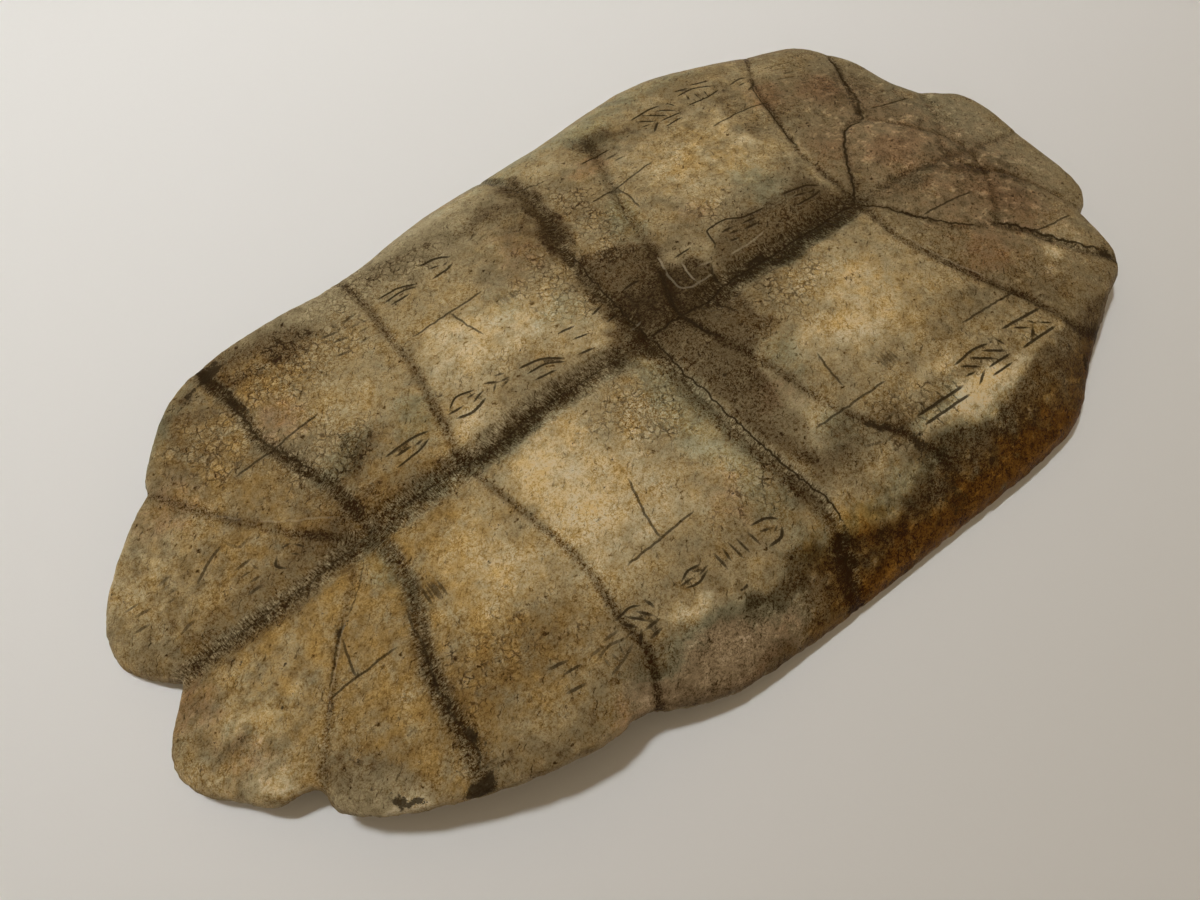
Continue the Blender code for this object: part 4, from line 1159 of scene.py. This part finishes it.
def carving_tree():
    """A tree that cuts the marks into a plate, roughens its bone and wears its rim."""
    tree = bpy.data.node_groups.new("Carve the plate", "GeometryNodeTree")
    face = tree.interface
    face.new_socket("Geometry", in_out="INPUT", socket_type="NodeSocketGeometry")
    for name, kind in (("Marks", "Object"), ("Bone", "Material"), ("Swell", "Float"),
                       ("Grain", "Float"), ("Bristle height", "Float"), ("Pit depth", "Float"),
                       ("Rim wear", "Float"), ("Seed", "Float"), ("Lowest", "Float"),
                       ("Highest", "Float")):
        face.new_socket(name, in_out="INPUT", socket_type="NodeSocket" + kind)
    face.new_socket("Geometry", in_out="OUTPUT", socket_type="NodeSocketGeometry")
    maker = Maker(tree)
    given = maker.all_of(maker.node("NodeGroupInput"))
    position = maker.node("GeometryNodeInputPosition")
    face_up = maker.named("face_up")

    # the cut of the nearest mark, deepest along its middle
    marks = maker.all_of(maker.node("GeometryNodeObjectInfo", {"transform_space": "ORIGINAL"},
                                    {"Object": given["Marks"]}))["Geometry"]
    gap, width, depth, ink = nearest_mark(maker, marks, maker.stretched(position, (1, 1, 0)))
    cut = depth * (1 - gap / width).most(0) ** 0.8 * face_up

    # the bone's own unevenness, which mostly sinks the face and so keeps it inside the solid
    seed = given["Seed"]
    mm = maker.in_mm(position)
    wander = maker.moved(mm, maker.place_of(seed, seed * 2, seed * 3))
    swell = (maker.noise(wander, scale=0.11, detail=2) - 0.75) * given["Swell"]
    grain = (maker.noise(wander, scale=0.8, detail=3, rough=0.6) - 0.75) * given["Grain"]
    run, left = maker.named("seam_run"), maker.named("seam_left")
    bristle = maker.named("bristle")
    fibres = maker.place_of(run * 1.6 + left * 0.5, left * 0.8, seed)
    ridges = maker.noise(fibres, scale=1.0, detail=2, rough=0.6) - 0.8
    ridges = ridges * given["Bristle height"] * bristle
    flat = maker.stretched(wander, (1, 1, 0.6))
    holes = maker.noise(flat, scale=0.9, detail=1).between(0.6, 0.78)
    pits = holes * bristle * given["Pit depth"] * face_up
    rim = 1 - maker.named("rim_gap").between(0.0, 1.6)
    worn = maker.noise(wander, scale=0.35, detail=3, rough=0.6).between(0.3, 0.8)
    worn = worn * rim * given["Rim wear"]
    rise = swell + grain + ridges * face_up - pits - worn

    # every point moved along its normal, then down by its cut, and kept inside the box
    along_normal = maker.node("ShaderNodeVectorMath", {"operation": "SCALE"},
                              {0: maker.node("GeometryNodeInputNormal"), "Scale": rise})
    moved = maker.moved(maker.moved(position, along_normal), maker.place_of(0.0, 0.0, cut * -1))
    axes = maker.axes_of(moved)
    height = axes["Z"].most(given["Lowest"]).least(given["Highest"])
    final = maker.place_of(axes["X"], axes["Y"], height)

    shape = given["Geometry"]
    for name, value in (("mark_gap", gap * MM_PER_METRE), ("mark_reach", width * MM_PER_METRE),
                        ("ink", ink * face_up), ("pits", holes * bristle * face_up)):
        shape = maker.node("GeometryNodeStoreNamedAttribute",
                           {"data_type": "FLOAT", "domain": "POINT"},
                           {"Geometry": shape, "Name": name, "Value": value})
    shape = maker.node("GeometryNodeSetPosition", None, {"Geometry": shape, "Position": final})
    shape = maker.node("GeometryNodeRealizeInstances", None, {"Geometry": shape})
    shape = maker.node("GeometryNodeSetMaterial", None,
                       {"Geometry": shape, "Material": given["Bone"]})
    output = tree.nodes.new("NodeGroupOutput")
    tree.links.new(shape.socket, output.inputs["Geometry"])
    return tree


def give(modifier, values):
    """Sets a tree's named inputs on its modifier, each by its socket's identifier."""
    for item in modifier.node_group.interface.items_tree:
        if item.in_out == "INPUT" and item.name in values:
            modifier[item.identifier] = values[item.name]


# -------------------------------------------------------------------------- the finish

# Where the six colours of bone stand, from the thickest dirt to bleached, and the tone of
# plain bone with nothing on it.
TONE_STOPS = (0.0, 0.16, 0.36, 0.56, 0.78, 1.0)
PLAIN_TONE = 0.606

PLAIN_ROUGHNESS = 0.5
BUMP_STRENGTH = 0.6
BUMP_DISTANCE = 0.0003


def bone_grain(maker, mm, bone):
    """Adds the bone's unevenness at four sizes, a drift of its hue and the seams' fibres."""
    bone.broad = maker.noise(mm, scale=0.12, detail=3, rough=0.6) - 0.5
    bone.middling = maker.noise(mm, scale=0.4, detail=4, rough=0.65) - 0.5
    bone.fine = maker.noise(mm, scale=1.5, detail=3, rough=0.75) - 0.5
    bone.grit = maker.noise(mm, scale=3.6, detail=3, rough=0.8) - 0.5
    bone.drift = maker.noise(maker.moved(mm, (31, 7, 4)), scale=0.3, detail=3, rough=0.6) - 0.5
    run, left = maker.field("seam_run"), maker.field("seam_left")
    bone.by_seam = 1 - abs(left).between(1.5, 7.0)
    fibres = maker.place_of(run * 3.0 + left * 0.6, left * 0.8)
    bone.hairs = maker.noise(fibres, scale=1.0, detail=3, rough=0.8) - 0.5
    bone.bristle = maker.field("bristle")
    bone.drawn = maker.field("hairs")


def bone_figure(maker, mm, bone):
    """Adds the net of cells, the veins, the specks and flecks and the slanting scratches."""
    broad, middling, fine = bone.broad, bone.middling, bone.fine
    by_grain = maker.noise(mm, scale=0.8, detail=3.0, output=1)
    bent = maker.moved(mm, maker.stretched(by_grain, (1.6, 1.6, 1.6)))
    wall = maker.voronoi(bent, 0.6, "DISTANCE_TO_EDGE")
    patchy = (bone.cell_field + middling * 2.8 + broad * 1.6 - 0.12).between(0.0, 0.9)
    broken = (0.8 + (fine + middling) * 4).between(0.15, 1.6)
    bone.cells = (1 - wall.between(0.0, 0.17)) * patchy * broken

    by_broad = maker.noise(mm, scale=0.35, detail=2.0, output=1)
    twist = maker.moved(bent, maker.stretched(by_broad, (7, 7, 7)))
    branch = maker.voronoi(twist, 0.3, "DISTANCE_TO_EDGE")
    bone.veins = (1 - branch.between(0.0, 0.07)) * ((broad - middling) * 5 + 0.35).between(0.0, 1.0)

    spot = maker.voronoi(maker.stretched(bent, (0.7, 1.2, 1)), 0.56, "F1")
    bone.specks = (1 - (spot + fine * 0.6).between(0.06, 0.24)) * (
        middling - broad * 0.8).between(-0.04, 0.14)
    wide = maker.stretched(mm, (1.0, 1.5, 1.0))
    bone.flecks = maker.noise(wide, scale=0.32, detail=4, rough=0.65).between(0.54, 0.66)
    axes = maker.axes_of(bent)
    slanted = maker.place_of((axes["X"] + axes["Y"]) * 0.3, (axes["X"] - axes["Y"]) * 2.0)
    bone.scratch = maker.noise(slanted, scale=0.9, detail=2, rough=0.6).between(0.6, 0.7)


def bone_dirt(maker, bone):
    """Adds the ground-in brown, the dirt of the lines, and the grain that dirt brings out."""
    broad, middling = bone.broad, bone.middling
    brown = maker.field("brown") * 1.5 + broad * 0.9 + middling * 1.3 - 0.25
    bone.brown = brown.between(0.0, 1.5) * 1.5
    bone.mottle = maker.field("mottle")
    bone.dirt = maker.field("dirt") * (1.0 + middling * 1.6 + bone.hairs * 4.5 * bone.drawn)
    dirty = (0.5 + bone.brown * 0.25 + bone.dirt * 1.8 - bone.bristle * 0.15
             + bone.mottle * 0.05 + broad * 1.4 + bone.cell_field * 0.25)
    bone.dirty = dirty.between(0.35, 1.7) * 1.35 + 0.45
    bone.grains = (bone.fine * 1.55 + bone.grit * 1.9).least(0.13) * bone.dirty


def bone_tone(maker, bone):
    """How pale the bone is, from 0 under the thickest dirt to 1 where it is bleached."""
    middling, hairs = bone.middling, bone.hairs
    worn_rim = (1 - bone.rim_gap.between(0.5, 2.4)) * (0.6 + middling * 3)
    clean = (PLAIN_TONE + maker.field("tone") * 1.2 + bone.broad * 0.55
             + middling * (bone.mottle * 0.8 + 0.65) + bone.grains + worn_rim * 0.12)
    soiled = (clean - bone.veins * 0.13 - bone.brown * 0.36
              + hairs * (bone.by_seam * 0.3 + bone.drawn * 0.9 + bone.bristle * 1.8) - bone.dirt)
    return (soiled - bone.cells * 0.54 - bone.specks * 0.45
            + bone.flecks * (bone.mottle * 0.17 + 0.07) - bone.scratch * 0.34
            - maker.field("pits") * 0.25)


def bone_colour(maker, bone, tone, finish):
    """The colour that a tone gives, yellowed by age and tinged by rusty and damp soil."""
    bands = zip(TONE_STOPS, (finish.blackened, finish.umber, finish.brown, finish.tan,
                             finish.cream, finish.pale))
    stops = [(place, (*colour, 1)) for place, colour in bands]
    colour = maker.node("ShaderNodeValToRGB", {"stops": stops}, {"Fac": tone})
    drift = bone.drift
    age = (maker.field("amber") * (1 + drift * 3.0) + 0.35
           - bone.grains * (bone.dirty * 1.6 + 0.7) - bone.hairs * bone.bristle * 3.0
           - bone.bristle * 0.35 + drift * 0.9 + bone.broad * 0.5 + bone.veins * 0.3
           + bone.specks * 0.4)
    rust = maker.field("rose") + bone.middling * 1.6 + bone.fine * 1.2 - 0.1
    damp = maker.field("grey") - drift * 1.3 + bone.fine * 1.0 - 0.02
    for share, cast in ((age, finish.amber_cast), (age - 1.0, finish.amber_cast),
                        (rust, finish.rose_cast), (damp, finish.grey_cast)):
        colour = maker.colour_mix(share.between(0.0, 1.0), colour, (*cast, 1), "MULTIPLY")
    return colour


def old_bone(finish):
    """Old bone: tan and cream, with ground-in dirt, cells, fibres, specks and dark cuts."""
    material = bpy.data.materials.new("old bone")
    material.use_nodes = True
    maker = Maker(material.node_tree)
    shader = material.node_tree.nodes["Principled BSDF"]
    mm = maker.in_mm(maker.all_of(maker.node("ShaderNodeTexCoord"))["Object"])
    bone = SimpleNamespace(cell_field=maker.field("cells"), rim_gap=maker.field("rim_gap"))
    bone_grain(maker, mm, bone)
    bone_figure(maker, mm, bone)
    bone_dirt(maker, bone)
    colour = bone_colour(maker, bone, bone_tone(maker, bone), finish)

    # soot, a broken dark line round the rim, and the ink and dirt in the cuts
    broad, middling, fine = bone.broad, bone.middling, bone.fine
    soot = maker.field("soot") + middling * 1.5 + fine * 1.5 + bone.hairs * 0.8
    rim_line = (1 - bone.rim_gap.between(0.1, 0.8)) * (broad + middling).between(-0.1, 0.15)
    gap = maker.field("mark_gap") / maker.field("mark_reach").most(0.05) + (fine + bone.grit) * 0.7
    ink = (1 - gap.between(0.75, 1.35)) * maker.field("ink")
    dark = soot.between(0.3, 0.6).most(rim_line * 0.5).most(ink)
    colour = maker.colour_mix(dark.least(0.9), colour, (*finish.cut_colour, 1))
    # negative ink lays the pale colour along the pale lips: partly wear, partly painted highlights
    colour = maker.colour_mix((ink * -1).between(0.0, 1.0) * 0.5, colour, (*finish.pale, 1))

    bumps = (fine * 0.8 + bone.grit * 0.7
             + bone.hairs * (bone.by_seam * 0.3 + bone.drawn + bone.bristle * 0.5))
    normal = maker.node("ShaderNodeBump", None, {
        "Strength": BUMP_STRENGTH, "Distance": BUMP_DISTANCE, "Height": bumps})
    roughness = PLAIN_ROUGHNESS + bone.dirt * 0.3 + fine * 0.5 + dark * 0.2
    for name, value in (("Base Color", colour), ("Roughness", roughness), ("Normal", normal)):
        material.node_tree.links.new(value.socket, shader.inputs[name])
    shader.inputs["Specular IOR Level"].default_value = finish.gloss
    return material


def plain(name, colour, roughness):
    """A material of one colour, for what isn't part of the object."""
    material = bpy.data.materials.new(name)
    material.use_nodes = True
    shader = material.node_tree.nodes["Principled BSDF"]
    shader.inputs["Base Color"].default_value = (*colour, 1)
    shader.inputs["Roughness"].default_value = roughness
    return material


# ------------------------------------------------------------------- sizes and colours

def length(name, description, default):
    """A property that is a length in metres."""
    return FloatProperty(name=name, description=description, default=default, min=0.0,
                         unit="LENGTH", precision=5)


def size_mm(name, description, default):
    """A property that is a length in millimetres."""
    return FloatProperty(name=name, description=description + ", in millimetres",
                         default=default, min=0.0)


def tint(name, description, default):
    """A property that is a colour."""
    return FloatVectorProperty(name=name, description=description, default=default, size=3,
                               min=0.0, max=1.0, subtype="COLOR")


class PlateSizes(bpy.types.PropertyGroup):
    """Sizes of the carved plate's mesh and marks."""
    seed: IntProperty(name="Seed", description="Seed of everything uneven on the plate", default=7)
    face_step: size_mm("Face step", "Spacing of the carved face's points", 0.68)
    inner_step: size_mm("Inner step", "Spacing of the inner face's points", 2.0)
    mark_step: size_mm("Mark step", "Spacing of the points along a mark", 0.36)
    cut_width: size_mm("Cut width", "Width of a carved stroke", 0.5)
    cut_depth: size_mm("Cut depth", "Depth of a carved stroke", 0.25)
    crack_width: size_mm("Crack width", "Width of a heat crack", 0.42)
    crack_depth: size_mm("Crack depth", "Depth of a heat crack", 0.22)
    swell: length("Swell", "Height of the bone's broad unevenness", 0.0005)
    grain: length("Grain", "Height of the bone's fine unevenness", 0.00014)
    bristle_height: length("Bristle height", "Height of the fibres along a rough seam", 0.0005)
    pit_depth: length("Pit depth", "Depth of the pits along a rough seam", 0.0003)
    rim_wear: length("Rim wear", "How far the rim is worn back at most", 0.0004)


class BoneFinish(bpy.types.PropertyGroup):
    """Colours of the old bone."""
    blackened: tint("Blackened", "Bone under the thickest dirt", (0.026, 0.014, 0.003))
    umber: tint("Umber", "Bone with ground-in brown dirt", (0.088, 0.059, 0.024))
    brown: tint("Brown", "Handled brown bone", (0.165, 0.128, 0.069))
    tan: tint("Tan", "Plain old bone", (0.275, 0.224, 0.128))
    cream: tint("Cream", "Clean old bone", (0.440, 0.368, 0.222))
    pale: tint("Pale", "Worn, bleached bone", (0.680, 0.600, 0.420))
    amber_cast: tint("Amber cast", "What oil and age take from the bone", (1.0, 0.77, 0.40))
    rose_cast: tint("Rose cast", "What rusty soil takes from the bone", (1.0, 0.80, 0.74))
    grey_cast: tint("Grey cast", "What damp soil takes from the bone", (0.84, 0.94, 1.0))
    cut_colour: tint("Cut colour", "Pigment and soot in the cuts", (0.026, 0.016, 0.006))
    gloss: FloatProperty(name="Gloss", description="Strength of the waxy shine", default=0.07,
                         min=0.0, max=1.0)


class StageSizes(bpy.types.PropertyGroup):
    """The table, the lights and the camera."""
    table_side: length("Table side", "Side of the table top", 4.0)
    table_colour: tint("Table colour", "Colour of the table top", (0.72, 0.73, 0.74))
    key_power: FloatProperty(name="Key power", description="Power of the one large soft light",
                             default=5900.0, min=0.0, unit="POWER")
    sky: FloatProperty(name="Sky", description="Strength of the light from all round",
                       default=0.34, min=0.0)


# --------------------------------------------------------------------------- operators

def settle(obj, name):
    """Turns the object's evaluated shape into a plain mesh, with no modifier left on it."""
    bpy.context.view_layer.update()
    graph = bpy.context.evaluated_depsgraph_get()
    mesh = bpy.data.meshes.new_from_object(obj.evaluated_get(graph))
    mesh.name = name
    obj.modifiers.clear()
    obj.data = mesh


# The plate must have fewer triangles than this; with more, making it stops with an error.
MOST_TRIANGLES = 200000


class ORACLEBONE_OT_plate(bpy.types.Operator):
    """Make the carved plate: fine form, cut marks, rough seams, worn rim and bone finish"""
    bl_idname = "oraclebone.plate"
    bl_label = "Carved plate"

    def execute(self, context):
        sizes = context.scene.plate_sizes
        low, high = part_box("plastron")
        marks = mark_lines(sizes)
        plate = bpy.data.objects.new("carved_plate", fine_plate(sizes, marks))
        lines = marks_object(marks)
        context.scene.collection.objects.link(plate)
        context.scene.collection.objects.link(lines)
        carve = plate.modifiers.new("Carve", "NODES")
        carve.node_group = carving_tree()
        give(carve, {
            "Marks": lines, "Bone": old_bone(context.scene.bone_finish), "Swell": sizes.swell,
            "Grain": sizes.grain, "Bristle height": sizes.bristle_height,
            "Pit depth": sizes.pit_depth, "Rim wear": sizes.rim_wear,
            "Seed": float(sizes.seed), "Lowest": low[2], "Highest": high[2]})
        settle(plate, "carved plate")
        bpy.data.objects.remove(lines)
        triangles = len(plate.data.polygons)
        if triangles >= MOST_TRIANGLES:
            raise RuntimeError(f"the plate has {triangles} triangles")
        print("plate triangles:", triangles)
        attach(plate, "root")
        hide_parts("plastron")
        return {"FINISHED"}


# The large soft light stands high behind the far side. Its narrow cone is aimed beyond the
# plate, so that the light on the table fades towards the near side.
KEY_PLACE = (-0.36, 1.98, 2.52)
KEY_AIM = (-0.064, 1.11, 0)
KEY_COLOUR = (0.97, 1.0, 1.01)
KEY_SIZE = 1.2
KEY_CONE = 0.197
KEY_BLEND = 0.38
ROOM_COLOUR = (1, 0.78, 0.52, 1)
TABLE_ROUGHNESS = 0.6

LENS = 25.5
SENSOR_WIDTH = 36.0
NEAREST_SEEN = 0.01
CAMERA_PLACE = (-0.06904, -0.07298, 0.14779)
CAMERA_TURN = (28.394, 0.0, -37.674)


def table_top(scene, side, colour):
    """Lays the flat table that the plate rests on."""
    half = side / 2
    mesh = bpy.data.meshes.new("table")
    mesh.from_pydata([(-half, -half, 0), (half, -half, 0), (half, half, 0), (-half, half, 0)],
                     [], [(0, 1, 2, 3)])
    mesh.materials.append(plain("pale table", colour, TABLE_ROUGHNESS))
    table = bpy.data.objects.new("table", mesh)
    scene.collection.objects.link(table)


def key_light(scene, power):
    """Hangs the large soft light."""
    lamp = bpy.data.lights.new("key", "SPOT")
    lamp.energy = power
    lamp.color = KEY_COLOUR
    lamp.shadow_soft_size = KEY_SIZE
    lamp.spot_size = KEY_CONE
    lamp.spot_blend = KEY_BLEND
    light = bpy.data.objects.new("key", lamp)
    light.location = KEY_PLACE
    toward = Vector(KEY_AIM) - Vector(KEY_PLACE)
    light.rotation_euler = toward.to_track_quat("-Z", "Y").to_euler()
    scene.collection.objects.link(light)


def soft_room(scene, strength):
    """Sets the weak warm light from all round."""
    world = bpy.data.worlds.new("soft room")
    world.use_nodes = True
    background = world.node_tree.nodes["Background"]
    background.inputs["Color"].default_value = ROOM_COLOUR
    background.inputs["Strength"].default_value = strength
    scene.world = world


def camera_above(scene):
    """Sets the camera, close above the plate's near side and looking down across it."""
    lens = bpy.data.cameras.new("camera")
    lens.lens = LENS
    lens.sensor_width = SENSOR_WIDTH
    lens.clip_start = NEAREST_SEEN
    camera = bpy.data.objects.new("camera", lens)
    camera.location = CAMERA_PLACE
    camera.rotation_euler = [math.radians(turn) for turn in CAMERA_TURN]
    scene.collection.objects.link(camera)
    scene.camera = camera


class ORACLEBONE_OT_stage(bpy.types.Operator):
    """Lay the pale table and set the soft lights and the camera"""
    bl_idname = "oraclebone.stage"
    bl_label = "Table, lights and camera"

    def execute(self, context):
        scene = context.scene
        sizes = scene.stage_sizes
        table_top(scene, sizes.table_side, sizes.table_colour)
        key_light(scene, sizes.key_power)
        soft_room(scene, sizes.sky)
        camera_above(scene)
        scene.view_settings.view_transform = "Standard"
        return {"FINISHED"}


class ORACLEBONE_PT_panel(bpy.types.Panel):
    """Lists what makes the oracle bone, with its sizes and colours"""
    bl_idname = "ORACLEBONE_PT_panel"
    bl_label = "Oracle bone"
    bl_space_type = "VIEW_3D"
    bl_region_type = "UI"
    bl_category = "Oracle bone"

    def draw(self, context):
        for operator in (ORACLEBONE_OT_plate, ORACLEBONE_OT_stage):
            self.layout.operator(operator.bl_idname)
        for group in (context.scene.plate_sizes, context.scene.bone_finish,
                      context.scene.stage_sizes):
            box = self.layout.box()
            for name in group.bl_rna.properties.keys():
                if name not in ("rna_type", "name"):
                    box.prop(group, name)


CLASSES = (PlateSizes, BoneFinish, StageSizes, ORACLEBONE_OT_plate, ORACLEBONE_OT_stage,
           ORACLEBONE_PT_panel)


def register():
    """Makes the settings, the operators and the panel known to Blender."""
    for each in CLASSES:
        bpy.utils.register_class(each)
    bpy.types.Scene.plate_sizes = PointerProperty(type=PlateSizes)
    bpy.types.Scene.bone_finish = PointerProperty(type=BoneFinish)
    bpy.types.Scene.stage_sizes = PointerProperty(type=StageSizes)


def unregister():
    """Takes them away again."""
    del bpy.types.Scene.plate_sizes
    del bpy.types.Scene.bone_finish
    del bpy.types.Scene.stage_sizes
    for each in reversed(CLASSES):
        bpy.utils.unregister_class(each)


def main():
    """Makes the plate and the stage."""
    register()
    bpy.ops.oraclebone.plate()
    bpy.ops.oraclebone.stage()
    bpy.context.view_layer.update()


if __name__ == "__main__":
    main()
